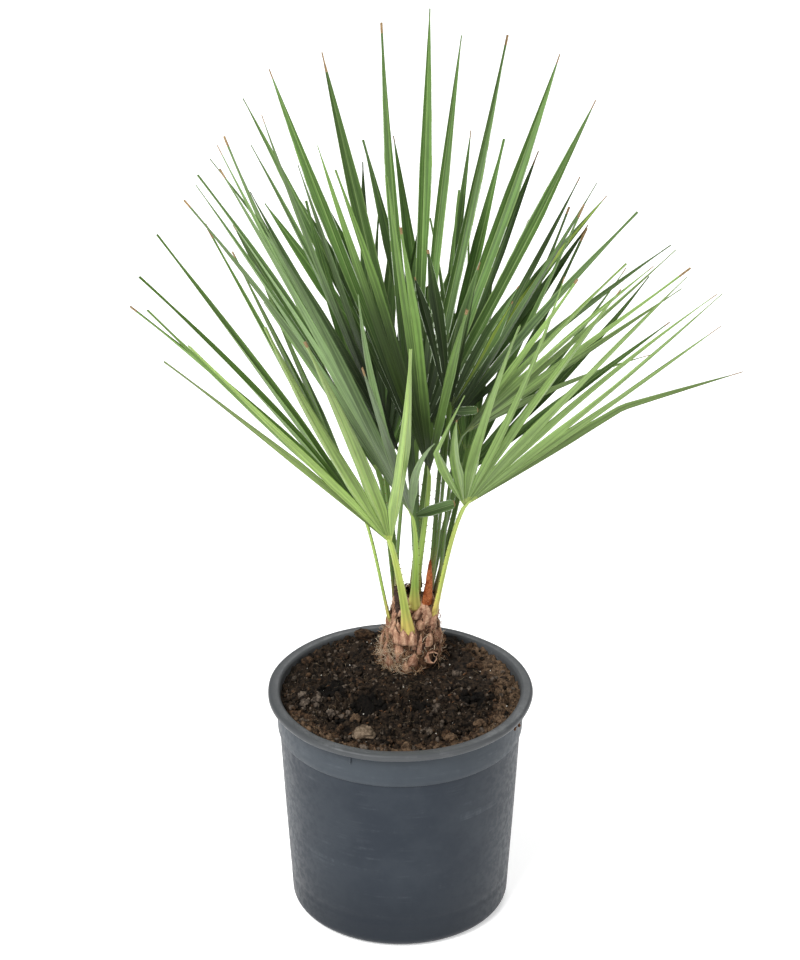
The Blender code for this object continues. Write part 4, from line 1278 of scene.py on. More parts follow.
def crumb_shapes(count, level, rng):
    """Rough pebbles of radius about 1, each with its own dents, and their faces."""
    deselect()
    bpy.ops.mesh.primitive_ico_sphere_add(subdivisions=level, radius=1.0)
    ball = bpy.context.object
    points = points_of(ball)
    triangles = np.array([tuple(face.vertices) for face in ball.data.polygons])
    bpy.data.objects.remove(ball)
    shapes = []
    for _ in range(count):
        shift = Vector(rng.uniform(0, 40, 3))
        dents = []
        for point in points:
            place = Vector(point)
            dent = 0.40 * noise.noise(place * 1.1 + shift) + 0.26 * noise.noise(place * 2.6 + shift)
            dents.append(0.86 + dent + 0.10 * noise.noise(place * 7 + shift))
        shapes.append(points * np.array(dents)[:, None] * rng.uniform(0.65, 1.15, 3))
    return shapes, triangles


def random_turn(rng):
    """A random rotation as a 3 by 3 array."""
    axis = unit(rng.normal(size=3))
    return np.array(Matrix.Rotation(rng.uniform(0, math.tau), 3, Vector(axis)))


def make_soil(rng):
    """The uneven surface, closed below, and what lies on it."""
    tones = earthy_set(SOIL_FINISHES)
    rim = SOIL_RADIUS - GAP
    floor, band, step = SOIL_SIDE
    profile = [floor] + straight(floor, band, 6) + [step]
    profile += straight(step, (rim, SOIL_SIDE_TOP), 4)
    profile += [(rim - rim * (k / SOIL_RINGS) + 0.0004, SOIL_EDGE_Z) for k in range(SOIL_RINGS)]
    soil = raised("soil_surface", profile, SOIL_SIDES)
    points = points_of(soil)
    for point in points:
        if point[2] > SOIL_EDGE_Z - 0.0001:
            point[2] = rough_soil(point[0], point[1])
    set_points(soil, points)
    for tone in tones:
        soil.data.materials.append(tone)
    for face in soil.data.polygons:
        face.material_index = soil_tone(face.center.x, face.center.y)
    soil.data.shade_smooth()
    settle(soil, "soil", "soil")
    for crumbs in make_crumbs(tones, rng):
        settle(crumbs, "soil")
    settle(make_litter(rng), "soil")


def make_crumbs(tones, rng):
    """Grit, crumbs and clods in two pieces, sunk a little into the surface."""
    grit, clods = Batch(), Batch()
    for batch, kind in ((grit, FINE_GRIT), (grit, COARSE_GRIT), (clods, SMALL_CLODS)):
        count, level, smallest, largest, rarity = kind
        shapes, triangles = crumb_shapes(CRUMB_SHAPES, level, rng)
        for _ in range(count):
            size = mixed(smallest, largest, rng.uniform(0, 1) ** rarity)
            x, y = scatter(rng, CRUMB_RADIUS - size, CRUMB_CLEAR + size)
            patch_x, patch_y, patch_radius = SMOOTH_PATCH
            if math.hypot(x - patch_x, y - patch_y) < patch_radius * 0.85 and rng.uniform() < 0.75:
                continue
            tone = soil_tone(x, y)
            # Crumbs in a hollow keep its painted shade
            if rng.uniform() < 0.5 and not in_pit(x, y):
                tone = int(rng.choice((0, 1, 3)))
            z = rough_soil(x, y) + size * rng.uniform(-0.1, 0.55)
            shape = shapes[rng.integers(len(shapes))] @ random_turn(rng).T * size
            batch.add(shape + (x, y, min(z, POT_HEIGHT - size)), triangles, tone)
    shapes, triangles = crumb_shapes(len(CLODS), CLOD_LEVEL, rng)
    for shape, (x, y, *half_sizes, tone) in zip(shapes, CLODS):
        centre = (x, y, rough_soil(x, y) + half_sizes[2] * 0.35)
        clods.add(shape * half_sizes + centre, triangles, tone)
    return [grit.piece("soil_crumbs", tones), clods.piece("soil_clods", tones)]


def make_litter(rng):
    """White grit, bark chips and fine roots on the soil, and a few dry bits under the lip."""
    litter = Batch()
    shapes, triangles = crumb_shapes(LITTER_SHAPES, 1, rng)
    grit, chip, root = range(len(LITTER_FINISHES))
    for _ in range(WHITE_GRIT):
        x, y = scatter(rng, 0.100, LITTER_CLEAR)
        shape = shapes[rng.integers(LITTER_SHAPES)] @ random_turn(rng).T * rng.uniform(0.0004, 0.0010)
        litter.add(shape + (x, y, rough_soil(x, y) + 0.0012), triangles, grit)
    for _ in range(BARK_CHIPS):
        x, y = scatter(rng, 0.103, LITTER_CLEAR)
        shape = shapes[rng.integers(LITTER_SHAPES)]
        shape = shape * (rng.uniform(1.5, 3.5), rng.uniform(0.5, 1.0), 0.35)
        shape = shape @ random_turn(rng).T * rng.uniform(0.0006, 0.0014)
        litter.add(shape + (x, y, rough_soil(x, y) + 0.0010), triangles, chip)
    for _ in range(FINE_ROOTS):
        x, y = scatter(rng, 0.101, LITTER_CLEAR)
        length = rng.uniform(0.004, 0.018)
        add_strand(litter, (x, y, rough_soil(x, y) + 0.0008), rng, length, 0.00018, root, flat=True)
    for _ in range(LIP_BITS):
        out = heading(rng.uniform(-25, -18), 0.0)
        place = out * LIP_BITS_RADIUS + UPWARDS * rng.uniform(0.1965, 0.204)
        shape = shapes[rng.integers(LITTER_SHAPES)] @ random_turn(rng).T * rng.uniform(0.0010, 0.0021)
        litter.add(shape + place, triangles, chip)
    return litter.piece("soil_litter", earthy_set(LITTER_FINISHES))


def scatter(rng, radius, clear):
    """A random place on the soil within a radius, clear of the trunk."""
    while True:
        away, turn = radius * math.sqrt(rng.uniform(0, 1)), rng.uniform(0, math.tau)
        x, y = away * math.cos(turn), away * math.sin(turn)
        if math.hypot(x - TRUNK_X, y - TRUNK_Y) > clear:
            return x, y


def add_strand(batch, start, rng, length, radius, mark, direction=None, flat=False, curl=0.5):
    """A thin three-sided strand that wanders from its start and tapers to both ends."""
    direction = unit(rng.normal(size=3)) if direction is None else unit(np.asarray(direction))
    point = np.array(start, dtype=float)
    steps = 6
    rings = []
    for k in range(steps + 1):
        if flat:
            direction[2] *= 0.15
            floor = rough_soil(point[0], point[1]) + 0.0009
            point[2] = mixed(floor, point[2], 0.5)
        direction = unit(direction)
        first = unit(np.cross(direction, (0.3, 0.2, 1.0)))
        second = np.cross(direction, first)
        thick = radius * (0.25 + 0.75 * math.sin(math.pi * (k + 0.6) / (steps + 1.2)))
        rings.append([point + thick * (math.cos(a) * first + math.sin(a) * second) for a in (0.0, 2.1, 4.2)])
        point = point + direction * length / steps
        direction = direction + rng.normal(size=3) * curl
    add_tube(batch, rings, mark)


# The trunk


def make_trunk(rng):
    """The core, the torn old leaf bases with the cut stub, and a coat of loose fibres."""
    settle(make_core(), "trunk_fibre", "trunk")
    settle(make_leaf_bases(rng), "trunk_fibre")
    settle(make_hairs(rng), "trunk_fibre")


def make_core():
    """The trunk's knobbly core, a little inside the old leaf bases."""
    profile = [(trunk_radius(0) * k / 6, TRUNK_FOOT_Z) for k in range(1, 6)]
    heights = [CORE_TOP * k / TRUNK_RINGS for k in range(TRUNK_RINGS + 1)]
    profile += [(trunk_radius(height) - CORE_INSET, TRUNK_FOOT_Z + height) for height in heights]
    cap = TRUNK_FOOT_Z + CORE_TOP + 0.0004
    profile += [(profile[-1][0] * share, cap) for share in (0.7, 0.4, 0.1)]
    core = raised("trunk_core", profile, TRUNK_SIDES)
    points = points_of(core)
    for point in points:
        height = point[2] - TRUNK_FOOT_Z
        turn = math.atan2(point[1], point[0])
        round_place = Vector((math.cos(turn), math.sin(turn), 0.0))
        streak = noise.noise(round_place * 11 + Vector((0, 0, height * 45)))
        knobs = noise.noise(round_place * 4 + Vector((0, 0, height * 150)))
        relief = (0.0017 * streak + 0.0016 * knobs) / 0.03 * (height > 0)
        point[0] = point[0] * (1 + relief) + TRUNK_X + TRUNK_LEAN * height
        point[1] = point[1] * (1 + relief) + TRUNK_Y
    set_points(core, points)
    core.data.materials.append(earthy_material(*CORE_FINISH))
    core.data.shade_smooth()
    return core


def make_leaf_bases(rng):
    """Rows of torn old leaf bases, those that wrap the feet of the stalks, and the cut stub."""
    bases = Batch()
    for row in range(SCALE_ROWS):
        height = mixed(SCALE_LOWEST, SCALE_HIGHEST, row / (SCALE_ROWS - 1))
        count = LOWEST_ROW_COUNT - row // 2
        for k in range(count):
            bearing = 360 * (k + rng.uniform(-0.25, 0.25)) / count + row * ROW_TURN
            size = rng.uniform(0.014, 0.020), rng.uniform(0.0042, 0.0058)
            if not beside_stub(height, bearing):
                add_scale(bases, height + rng.uniform(-0.002, 0.002), bearing, size, rng)
    for k in range(TORN_SHEATHS):
        bearing = 360 * (k + rng.uniform(-0.3, 0.3)) / TORN_SHEATHS
        size = rng.uniform(0.016, 0.024), rng.uniform(0.0026, 0.0044)
        add_scale(bases, rng.uniform(0.036, 0.056), bearing, size, rng)
    for height, bearing, lifted in WRAPS:
        add_scale(bases, height, bearing, WRAP_SIZE, rng, lifted, WRAP_TONES)
    add_cut_stub(bases)
    return bases.piece("old_leaf_bases", earthy_set(BASE_FINISHES))


def make_hairs(rng):
    """Loose fibres all over the trunk, and the beard of pale ones."""
    hairs = Batch()
    for _ in range(HAIRS):
        height, bearing = HAIR_TOP * rng.uniform(0, 1) ** 1.5, rng.uniform(0, 360)
        if beside_stub(height, bearing):
            continue
        place, out, around = on_bark(height, bearing, rng.uniform(0.0004, 0.0026))
        direction = around * rng.normal() + UPWARDS * rng.normal() * 1.1 + out * rng.uniform(-0.3, 0.15)
        length = rng.uniform(0.005, 0.015)
        tone = rng.choice(3, p=HAIR_TONE_ODDS)
        add_strand(hairs, place, rng, length, rng.uniform(0.00011, 0.00026), tone, direction, curl=0.42)
    for _ in range(PALE_HAIRS):
        height, bearing = PALE_HAIR_TOP * rng.uniform(0, 1) ** 1.5, rng.uniform(*PALE_HAIR_SIDE)
        place, _, around = on_bark(height, bearing, rng.uniform(0.0006, 0.0022))
        direction = around * rng.normal() + UPWARDS * rng.normal()
        add_strand(hairs, place, rng, rng.uniform(0.006, 0.014), 0.00016, rng.choice((0, 2)), direction)
    return hairs.piece("trunk_hairs", earthy_set(HAIR_FINISHES))


def on_bark(height, bearing, proud):
    """A place just over the trunk's side, and the directions outwards and round the trunk there."""
    out = heading(bearing, 0.0)
    place = axis_point(height) + out * (trunk_radius(height) + proud)
    return place, out, np.array([-out[1], out[0], 0.0])


def beside_stub(height, bearing):
    """Whether a leaf base or a fibre would hide the cut stub's hollow."""
    away = abs((bearing - STUB_BEARING + 180) % 360 - 180)
    return away < STUB_ROOM[0] and height < STUB_ROOM[1]


def add_scale(batch, height, bearing, size, rng, lifted=0.0, tones=None):
    """One old leaf base: a hollow, pointed scale with a pale torn rim, flared from the trunk."""
    long, wide = size
    flare, lift = rng.uniform(0.0004, 0.0026), rng.uniform(-0.0014, 0.0) + lifted
    rows, columns = SCALE_GRID
    shift = Vector(rng.uniform(0, 30, 3))
    ragged, slant = rng.uniform(0.1, 0.45), rng.uniform(-0.3, 0.3)
    blunt = rng.uniform(1.5, 2.6)
    outer, inner = [], []
    for r in range(rows):
        v = r / (rows - 1)
        spread = wide * max(0.08, (0.95 + 0.25 * v) * (1 - v**blunt) ** 0.75)
        for c in range(columns):
            u = 2 * c / (columns - 1) - 1
            tear = ragged * noise.noise(Vector((u * 3, 0.0, 0.0)) + shift) * v
            up = height + long * (v + tear * 0.5 - 0.12 * u * u * v)
            radius = trunk_radius(min(max(up, 0.001), 0.078)) + lift + flare * v * v
            radius += SCALE_DOME * (1 - u * u) * math.sin(math.pi * min(1.0, 0.15 + v)) - 0.0005 * u**4
            radius += 0.0006 * noise.noise(Vector((u * 4, v * 5, 2.0)) + shift)
            turn = math.radians(bearing) + (u * spread + slant * long * v) / max(radius, 0.012)
            outward = np.array([math.cos(turn), math.sin(turn), 0.0])
            foot = axis_point(max(up, 0.0004))
            outer.append(foot + outward * radius)
            inner.append(foot + outward * (radius - SCALE_THICKNESS))
    points = np.array(outer + inner)
    points[:, 2] = np.maximum(points[:, 2], TRUNK_FOOT_Z + 0.0003)
    count = rows * columns
    dealt = SCALE_TONES[rng.choice(len(SCALE_TONES), p=SCALE_TONE_ODDS)]
    middle, side = tones or dealt
    faces, marks = [], []
    for r in range(rows - 1):
        for c in range(columns - 1):
            a = r * columns + c
            faces.append((a, a + 1, a + columns + 1, a + columns))
            edge = c in (0, columns - 2) or r == rows - 2
            # The sides mostly darker than the middle: partly painted shade of the curved scale
            tone = middle if 2 < c < columns - 4 else side
            marks.append(RIM_TONE if edge and r >= RIM_FROM_ROW else tone)
            # The inner side in a dark tone: painted shade under the scale
            faces.append((count + a, count + a + columns, count + a + columns + 1, count + a + 1))
            marks.append(INNER_SHADE_TONE)
    border = list(range(columns)) + [r * columns + columns - 1 for r in range(1, rows)]
    border += [count - 1 - c for c in range(1, columns)] + [r * columns for r in range(rows - 2, 0, -1)]
    for here, there in zip(border, border[1:] + border[:1]):
        faces.append((here, here + count, there + count, there))
        marks.append(RIM_TONE if here // columns >= RIM_FROM_ROW else INNER_SHADE_TONE)
    batch.add(points, faces, marks)


def add_cut_stub(batch):
    """The hollow ring of an offshoot that was cut, low on the trunk's front."""
    out = unit(heading(STUB_BEARING, 0.0) + UPWARDS * 0.35)
    around = unit(np.cross(UPWARDS, out))
    over = np.cross(out, around)
    place = axis_point(STUB_HEIGHT - STUB_DROP) + out * (trunk_radius(STUB_HEIGHT) - 0.001)
    rings = []
    for depth, radius in STUB_RINGS:
        ring = []
        for k in range(STUB_SIDES):
            turn = math.tau * k / STUB_SIDES
            uneven = radius * (1 + 0.05 * math.sin(3 * turn + depth * 200) + 0.07 * math.sin(7 * turn))
            centre = place + out * (depth + 0.0011 * math.sin(2 * turn) + 0.0006 * math.sin(5 * turn))
            ring.append(centre + uneven * (math.cos(turn) * around + math.sin(turn) * over))
        rings.append(ring)
    add_tube(batch, rings, np.repeat(STUB_MARKS, STUB_SIDES), cap_marks=STUB_CAPS)


# Stalks and the limbs with no fan


def stalk_frame(points, first_side, last_side):
    """For each point (ahead, side, up): the side turns evenly from the foot's to the hand's."""
    points = np.array(points)
    ahead = np.gradient(points, axis=0)
    frames = []
    for k, direction in enumerate(ahead):
        share = k / (len(points) - 1)
        direction = unit(direction)
        side = mixed(first_side, last_side, share)
        side = unit(side - direction * np.dot(side, direction))
        frames.append((direction, side, np.cross(side, direction)))
    return points, frames


def plain_limb(name, sides, rings):
    """A straight upright limb of radius 1 with one ring a step, to be bent along a line."""
    return raised(name, [(1.0, 0.0)] + [(1.0, float(k)) for k in range(1, rings + 1)], sides)


def bend_limb(name, plain, line, section, material):
    """A copy of a plain limb along a line of (point, ahead, side, up).

    section gives (across, up, ahead) in metres for a ring's number and a place on the unit circle.
    The three directions are a mirror image of X, Y and Z, so the faces are turned outwards again.
    """
    piece = bpy.data.objects.new(name, plain.data.copy())
    bpy.context.scene.collection.objects.link(piece)
    points = points_of(piece)
    rings = np.rint(points[:, 2]).astype(int)
    around = np.arctan2(points[:, 1], points[:, 0]) / math.tau % 1.0
    placed = []
    for (x, y, _), k in zip(points, rings):
        point, (ahead, side, up) = line[k]
        across, over, forward = section(k, x, y)
        placed.append(point + side * across + up * over + ahead * forward)
    set_points(piece, placed)
    piece.data.flip_normals()
    unroll(piece, 10.0 * rings / (len(line) - 1), around)
    piece.data.materials.append(material)
    piece.data.shade_smooth()
    return piece


def make_stalks(rng):
    """The grooved stalks of all fronds, and their thorns in one piece."""
    looks = {name: stalk_material(f"stalk_{name}", *tones) for name, tones in STALK_LOOKS.items()}
    plain = plain_limb("plain_stalk", STALK_SIDES, STALK_RINGS)
    spines = Batch()
    for frond in FRONDS:
        make_stalk(frond, plain, looks[FROND_STALKS.get(frond.name, "dark")], spines, rng)
    bpy.data.objects.remove(plain)
    settle(spines.piece("stalk_spines", earthy_set(THORN_FINISHES)), "stalk_green")


def make_stalk(frond, plain, material, spines, rng):
    """A stalk flat above and round below, broad at its foot, that runs on into the fan's heart."""
    turn = math.radians(frond.foot_bearing)
    aim, side, _ = fan_axes(frond)
    around = np.array([math.sin(turn), -math.cos(turn), 0.0])
    if np.dot(around, side) < 0 and frond.ring < 0.012:
        around = -around
    hand = np.array(frond.hand)
    last = STALK_RINGS - TONGUE_RINGS
    points = list(limb_line(frond.ring, frond.foot_bearing, hand - aim * STALK_END_GAP, aim, last))
    points += [hand + aim * TONGUE_LENGTH * (k / TONGUE_RINGS) for k in range(1, TONGUE_RINGS + 1)]
    points, frames = stalk_frame(points, around, side)
    radii = stalk_radii(frond.stalk, min(frond.stalk, STALK_HAND_RADIUS), last)
    radii += [radii[-1]] * TONGUE_RINGS

    def section(k, x, y):
        share = k / last
        tongue = smooth((share - 0.93) / 0.16)
        foot = smooth(1 - share / 0.30)
        wide = radii[k] * (0.90 + 0.45 * foot) * (1 + 0.35 * tongue) * (1 - 0.75 * max(0.0, share - 1.0) * 8)
        thick = radii[k] * (0.80 + 0.12 * foot) * (1 - 0.70 * tongue)
        flat = 0.42 if y > 0 else 1.0
        groove = -0.24 * math.exp(-((x / 0.35) ** 2)) * (y > 0)
        ridge = 0.05 * math.cos(6 * math.atan2(y, x)) * (y <= 0)
        return wide * x, thick * (y * flat + (groove + ridge) * (1 - tongue)), 0.0

    piece = bend_limb(f"petiole_{frond.name}", plain, list(zip(points, frames)), section, material)
    settle(piece, "stalk_green", f"stalk_{frond.name}")
    for edge in (-1, 1):
        share = 0.12 + rng.uniform(0, 0.05)
        while share < 0.90:
            k = int(share * last)
            ahead, across, _ = frames[k]
            foot = points[k] + across * edge * radii[k] * 0.92
            add_spine(spines, foot, ahead, across * edge, radii[k] * rng.uniform(0.35, 0.75), rng)
            share += rng.uniform(0.04, 0.10)


def add_spine(batch, foot, ahead, out, length, rng):
    """A small hooked thorn with a dark tip that points out and towards the hand."""
    foot = foot - out * 0.0004
    lean = rng.uniform(0.2, 0.7)
    over = np.cross(out, ahead)
    rings = []
    for share, size in SPINE_RINGS:
        centre = foot + out * (length * share) + ahead * (length * lean * share**1.5)
        rings.append([centre + size * corner for corner in (ahead, over, -ahead, -over)])
    add_tube(batch, rings, np.repeat([0, 1], 4))


def limb_frames(number, sides):
    """Points and frames of a limb with no fan."""
    _, ring, bearing, end, _, _ = SMALL_LIMBS[number]
    line = limb_line(ring, bearing, end, UPWARDS, SMALL_LIMB_RINGS)
    points, frames = stalk_frame(line, *sides)
    return list(zip(points, frames))


def make_small_limbs():
    """The closed newest leaf, the curled dry sheath and the dead stump of a stalk beside it."""
    last = SMALL_LIMB_RINGS

    def spear(k, x, y):
        share = k / last
        swell = 0.75 + 0.35 * math.sin(math.pi * min(1, share * 1.2))
        radius = SPEAR_RADIUS * swell * (1 - share**6) + 0.0003
        pleat = 1 + 0.13 * math.cos(6 * math.atan2(y, x))
        return radius * pleat * x, 0.75 * radius * pleat * y, 0.0

    def sheath(k, x, y):
        share = k / last
        wide = SHEATH_HALF_WIDTH * (1 - share) ** 0.7 + 0.0004
        curl = 1.25 * x
        crease = 0.0008 * noise.noise(Vector((x * 4, share * 7, 1.0)))
        crease += 0.0003 * noise.noise(Vector((x * 2 + share * 9, share * 22, 5.0)))
        skin = 0.0005 * (1 if y > 0 else -1) * (1 - x * x)
        ragged = 0.004 * noise.noise(Vector((x * 4, 0.0, 7.0))) * share
        return wide * math.sin(curl), 0.0030 + 0.45 * wide * math.cos(curl) + crease + skin, ragged

    def stump(k, x, y):
        share = k / last
        rough = 1 + 0.25 * noise.noise(Vector((x * 2, y * 2, share * 9)))
        radius = STUMP_RADIUS * (1.30 - 0.40 * share) * rough
        ragged = 0.0025 * noise.noise(Vector((x * 3, y * 3, 4.0))) * (k == last)
        return 1.2 * radius * x, 0.8 * radius * y, ragged

    plain = plain_limb("plain_small_limb", SMALL_LIMB_SIDES, SMALL_LIMB_RINGS)
    green = green_material("spear_green", colour(*SPEAR_GREEN), lines=20)
    orange = earthy_material(*SHEATH_FINISH, roughness=0.6, distance=0.0004)
    grey = earthy_material(*STUMP_FINISH)
    facing, half_turned = np.array([0.9, 0.45, 0.0]), np.array([0.8, -0.6, 0.0])
    for number, name, sides, section, material, slot in (
        (0, "closed_spear_leaf", (RIGHTWARDS, half_turned), spear, green, "leaf_green"),
        (1, "curled_dry_sheath", (facing, facing), sheath, orange, "dry_sheath"),
        (2, "dead_stalk_stump", (RIGHTWARDS, RIGHTWARDS), stump, grey, "dry_sheath"),
    ):
        piece = bend_limb(name, plain, limb_frames(number, sides), section, material)
        settle(piece, slot, SMALL_LIMBS[number][0])
    bpy.data.objects.remove(plain)


# Fans


def blade_taper(share, widest):
    """The width of a blade at a share of its length, from 1 at its broadest to 0 at its tip."""
    return min(1.0, max(0.0, 1 - share) / (1 - widest)) ** BLADE_TAPER


def rounded_end(left):
    """Width at a distance from an end that was cut off blunt."""
    return math.sqrt(1 - 0.85 * (1 - min(1.0, left / CUT_END)) ** 2)


def turned_axes(across, up, roll):
    return math.cos(roll) * across + math.sin(roll) * up, math.cos(roll) * up - math.sin(roll) * across


def blade_sections(frond, index, bend, rng):
    """Along one leaflet: (middle, across, up, left half, right half, depth of the fold, along)."""
    up = fan_axes(frond)[2]
    ribs, pleats, step = leaflet_angles(frond)
    rooms = (math.tan(ribs[index] - pleats[index]), math.tan(pleats[index + 1] - ribs[index]))
    length = leaflet_lengths(frond)[index]
    start = SPLIT_SHARE * frond.reach
    turn, lift, cut = bend
    twist = math.radians(rng.uniform(-TWIST_MOST, TWIST_MOST))
    curve = rng.uniform(-CURVE_MOST, CURVE_MOST)
    widest, breadth = SLENDER.get(frond.name, (LEAFLET_WIDEST, 1.0))
    broad = LEAFLET_HALF_WIDTH * breadth * rng.uniform(*BREADTHS)
    blunt = frond.name in CLIPPED or rng.uniform() < BLUNT_ODDS
    tip = BLUNT_HALF_WIDTH if blunt else TIP_HALF_WIDTH
    pleat = FOLD_AT_HAND * math.tan(step / 2)
    sections = []
    for k in range(FUSED_STATIONS):
        along = mixed(HEART_START, start, k / FUSED_STATIONS)
        middle, across = rib_point(frond, ribs[index], along)
        sections.append((middle, across, up, rooms[0] * along, rooms[1] * along, pleat * along, along))
    for k in range(FREE_STATIONS + 1):
        free = cut * k / FREE_STATIONS
        middle, across, along = leaflet_point(frond, index, free, turn, lift)
        full = broad * blade_taper(along / length, widest)
        if cut < 1:
            full *= rounded_end((cut - free) * (length - start))
        parted = smooth(free / PARTING)
        halves = []
        for room in rooms:
            alone = max(tip, min(full, ROOM_SHARE * room * along))
            halves.append(mixed(min(room * along, WEB_MOST * broad), alone, parted))
        fold = mixed(FOLD_AT_HAND, FOLD_AT_TIP, smooth(free * 1.5))
        depth = mixed(pleat * along, fold * (halves[0] + halves[1]) / 2, parted)
        middle = middle + across * (curve * free * free)
        axes = turned_axes(across, up, twist * smooth(free / 0.8))
        sections.append((middle, *axes, *halves, depth, along))
    return sections


def cut_sections(frond, bearing, rise, length, half):
    """Sections of a leaflet that was cut off close to the hand, folded and blunt."""
    ahead = heading(bearing, rise)
    across = unit(np.cross(ahead, (0.0, -0.8, 0.6)))
    up = np.cross(across, ahead)
    sections = []
    for k in range(FREE_STATIONS + 1):
        along = mixed(0.003, length, k / FREE_STATIONS)
        wide = half * smooth(0.25 + 1.6 * along / length) * rounded_end(length - along)
        middle = np.array(frond.hand) + ahead * along
        sections.append((middle, across, up, wide, wide, 0.5 * wide, along))
    return sections


def add_leaflet(batch, sections, shades, style):
    """One closed blade from its sections: upper side, margins, underside and rib, and its tip."""
    columns = np.array(COLUMNS)
    inner = slice(1, -1)
    rings = []
    for middle, across, up, left, right, depth, _ in sections:
        halves = np.where(columns < 0, left, right)
        lift = depth * (abs(columns) ** 1.15 - 0.5)
        thick = MIDDLE_THICKNESS + (MARGIN_THICKNESS - MIDDLE_THICKNESS) * abs(columns)
        thick = (thick + (RIB_THICKNESS - thick) * np.exp(-((columns / 0.12) ** 2))) * min(1.0, left / 0.0025)
        flat = middle + np.outer(columns * halves, across)
        above = flat + np.outer(lift + thick * 0.4, up)
        below = flat + np.outer(lift - thick * 0.6, up)
        rings.append(np.vstack([above, below[inner][::-1]]))
    rings = np.array(rings)
    rows, count = rings.shape[:2]
    middles = abs(columns[1:] + columns[:-1]) / 2
    upper = np.where((middles < 0.08) | (middles > 0.93), 2, 0)
    lower = np.where(middles < 0.08, 2, 1)[::-1]
    # Painted fold shade: the two halves of a blade take their own shades, as a lit face and a shaded face
    fold_shaded_halves = np.where(columns[1:] > 0, shades[0], shades[1])
    kinds = np.concatenate([3 * fold_shaded_halves + upper, 3 * fold_shaded_halves[::-1] + lower])
    marks = np.tile(kinds, (rows - 1, 1))
    if style["gold"]:
        marks[:, 2:4] = GOLD
    if style["wool"]:
        woolly = style["rng"].uniform(size=(rows - 1, 2)) < WOOL_SHARE
        for here, margin in enumerate((0, len(columns) - 2)):
            marks[:, margin] = np.where(woolly[:, here], WOOL, marks[:, margin])
    along = np.array([section[-1] for section in sections])
    marks[along[:-1] < style["heart"]] = HEART
    marks[style["dry_from"]:] = DRY
    marks = marks.ravel()
    across_uv = np.concatenate([columns, columns[inner][::-1], columns[:1]])
    uvs = grid_uvs(style["rng"].uniform(0, 90) + along * UV_RATE, across_uv)
    batch.add(rings.reshape(-1, 3), grid_faces(rows, count), marks, uvs)
    add_caps(batch, rings, (marks[0], marks[-1]))


def make_crown(rng):
    """The fans of all fronds, and the leaflets that were cut off."""
    leaves = {look: leaf_materials(look) for look in LOOKS}
    shared = [
        earthy_material(*TIP_FINISH),
        earthy_material(*WOOL_FINISH),
        green_material("gold_streak", colour(*STREAK_GOLD), strength=0.12),
    ]
    for frond, bends in zip(FRONDS, place_leaflets(limb_shells())):
        make_fan(frond, bends, leaves[FROND_LOOKS[frond.name]] + shared, rng)
    make_cut_leaflets(leaves["grey"] + shared, rng)


def leaf_materials(look):
    """Upper side, underside and rib in three shades, and the heart, of one kind of leaf."""
    plain = LOOKS[look]
    materials = []
    for number, shade in enumerate(SHADES):
        for side in ("upper", "under", "rib"):
            strength, margin = (0.10, 0.0) if side == "rib" else (0.30, 0.24)
            green = colour(*getattr(plain, side), shade)
            name = f"{look}_{side}_{number}"
            materials.append(green_material(name, green, strength=strength, margin=margin))
    materials.append(green_material(f"{look}_heart", colour(*plain.heart), lines=12, strength=0.06))
    return materials


def make_fan(frond, bends, materials, rng):
    """All leaflets of one fan as one piece, each in one of three shades of its green, with painted fold
    shade.
    """
    batch = Batch()
    for index, bend in enumerate(bends):
        if bend is None:
            continue
        sections = blade_sections(frond, index, bend, rng)
        style = {
            "rng": rng,
            "wool": frond.name in WOOLLY and rng.uniform() < WOOL_ODDS,
            "gold": rng.uniform() < GOLD_ODDS,
            "heart": rng.uniform(0.006, 0.014),
            "dry_from": len(sections) - 1 - rng.choice((0, 1, 2), p=DRY_ODDS),
        }
        shade = rng.choice(3, p=SHADE_ODDS)
        # One half of the leaflet may take another shade: painted shade of the fold, one face lit and the
        # other in shadow
        other = shade if rng.uniform() < 0.6 else rng.choice(3)
        add_leaflet(batch, sections, (shade, other), style)
    piece = batch.piece(f"leaflets_{frond.name}", materials)
    settle(piece, "leaf_green", f"frond_{frond.name}")


def make_cut_leaflets(materials, rng):
    """The short blunt leaflets that were cut off close to the hand."""
    batch = Batch()
    for name, bearing, rise, length, half in CUT_SHORT:
        frond = next(frond for frond in FRONDS if frond.name == name)
        sections = cut_sections(frond, bearing, rise, length, half)
        style = {"rng": rng, "wool": True, "gold": False, "heart": 0.004, "dry_from": len(sections) - 2}
        add_leaflet(batch, sections, (1, 1), style)
    settle(batch.piece("cut_leaflets", materials), "leaf_green")


def limb_shells():
    """The shells of all limbs and hearts, as the solids' rule has them."""
    shells = []
    for frond in FRONDS:
        radii = stalk_radii(frond.stalk, min(frond.stalk, STALK_HAND_RADIUS))
        shells.append(tube_shell(stalk_line(frond), radii, CLEARANCE))
    for _, ring, bearing, end, foot_radius, end_radius in SMALL_LIMBS:
        line = limb_line(ring, bearing, end, UPWARDS)
        shells.append(tube_shell(line, stalk_radii(foot_radius, end_radius), CLEARANCE))
    return shells + [palm_shell(frond) for frond in FRONDS]


# The stage


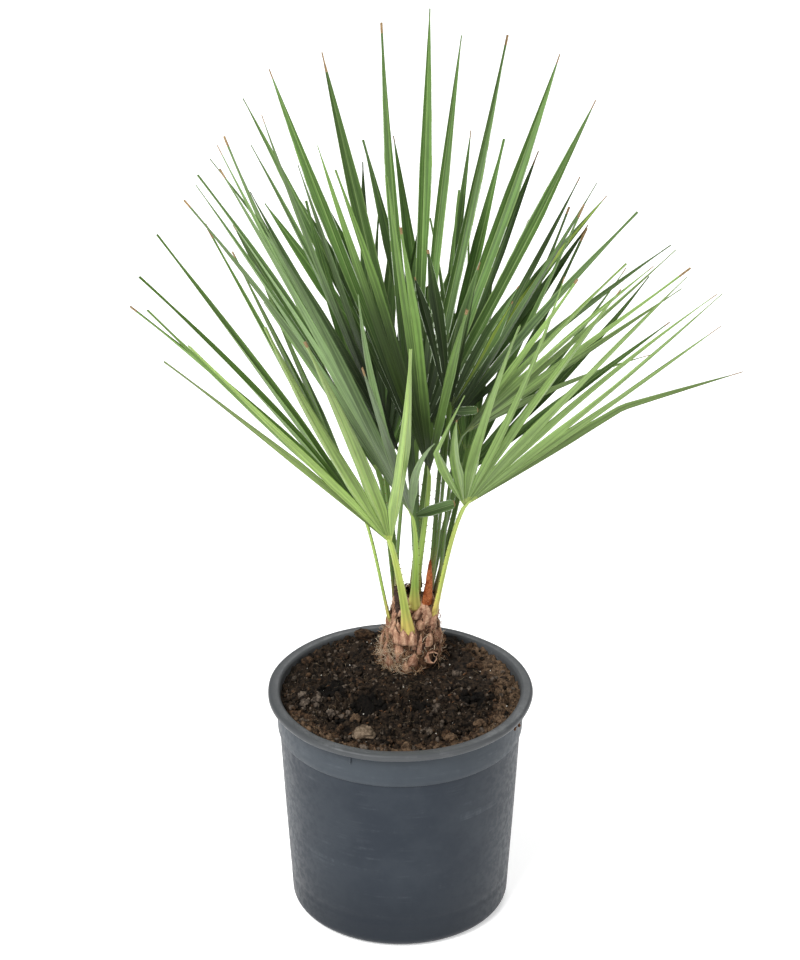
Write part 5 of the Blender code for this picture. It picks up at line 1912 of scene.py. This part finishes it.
def make_stage():
    """A pale floor, soft light from all round, and a large key lamp over the camera's left."""
    deselect()
    bpy.ops.mesh.primitive_plane_add(size=FLOOR_SIZE, location=(0.0, 0.0, -0.0005))
    floor = bpy.context.object
    floor.name = "pale_floor"
    material, _, shader = new_material("pale_floor", 0.8)
    shader.inputs["Base Color"].default_value = (*FLOOR_GREY, 1.0)
    shader.inputs["Specular IOR Level"].default_value = 0.1
    shader.inputs["Emission Color"].default_value = (1.0, 1.0, 1.0, 1.0)
    shader.inputs["Emission Strength"].default_value = FLOOR_GLOW
    floor.data.materials.append(material)

    world = bpy.data.worlds.new("soft_studio")
    world.use_nodes = True
    background = world.node_tree.nodes["Background"]
    background.inputs["Color"].default_value = (1.0, 1.0, 1.0, 1.0)
    background.inputs["Strength"].default_value = WORLD_STRENGTH
    bpy.context.scene.world = world

    for name, place, size, power in LAMPS:
        data = bpy.data.lights.new(name, "AREA")
        data.size = size
        data.energy = power
        lamp = bpy.data.objects.new(name, data)
        lamp.location = place
        aim = Vector(LAMP_AIM) - Vector(place)
        lamp.rotation_euler = aim.to_track_quat("-Z", "Y").to_euler()
        bpy.context.scene.collection.objects.link(lamp)


def make_camera():
    """The photo's camera, and plain colours in the picture."""
    data = bpy.data.cameras.new("camera")
    data.sensor_width = SENSOR
    data.lens = CAMERA_FOCAL_PIXELS * SENSOR / IMAGE_HEIGHT
    camera = bpy.data.objects.new("camera", data)
    camera.location = CAMERA_PLACE
    camera.rotation_euler = (math.radians(90 - CAMERA_PITCH), 0.0, 0.0)
    bpy.context.scene.collection.objects.link(camera)
    bpy.context.scene.camera = camera
    bpy.context.scene.view_settings.view_transform = "Standard"


def main():
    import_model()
    for shared_effect in (veins_group, mottle_group, rubs_group, crown_shade_group):
        shared_effect()
    make_stage()
    make_camera()
    rng = np.random.default_rng(SEED)

    slate = plastic_material(*SLATE)
    make_pot(slate, plastic_material(*LIP_WEAR_AND_HIGHLIGHT))
    make_mould_rib(slate)
    make_soil(rng)
    make_trunk(rng)
    make_stalks(rng)
    make_small_limbs()
    make_crown(rng)

    bpy.context.view_layer.update()


main()
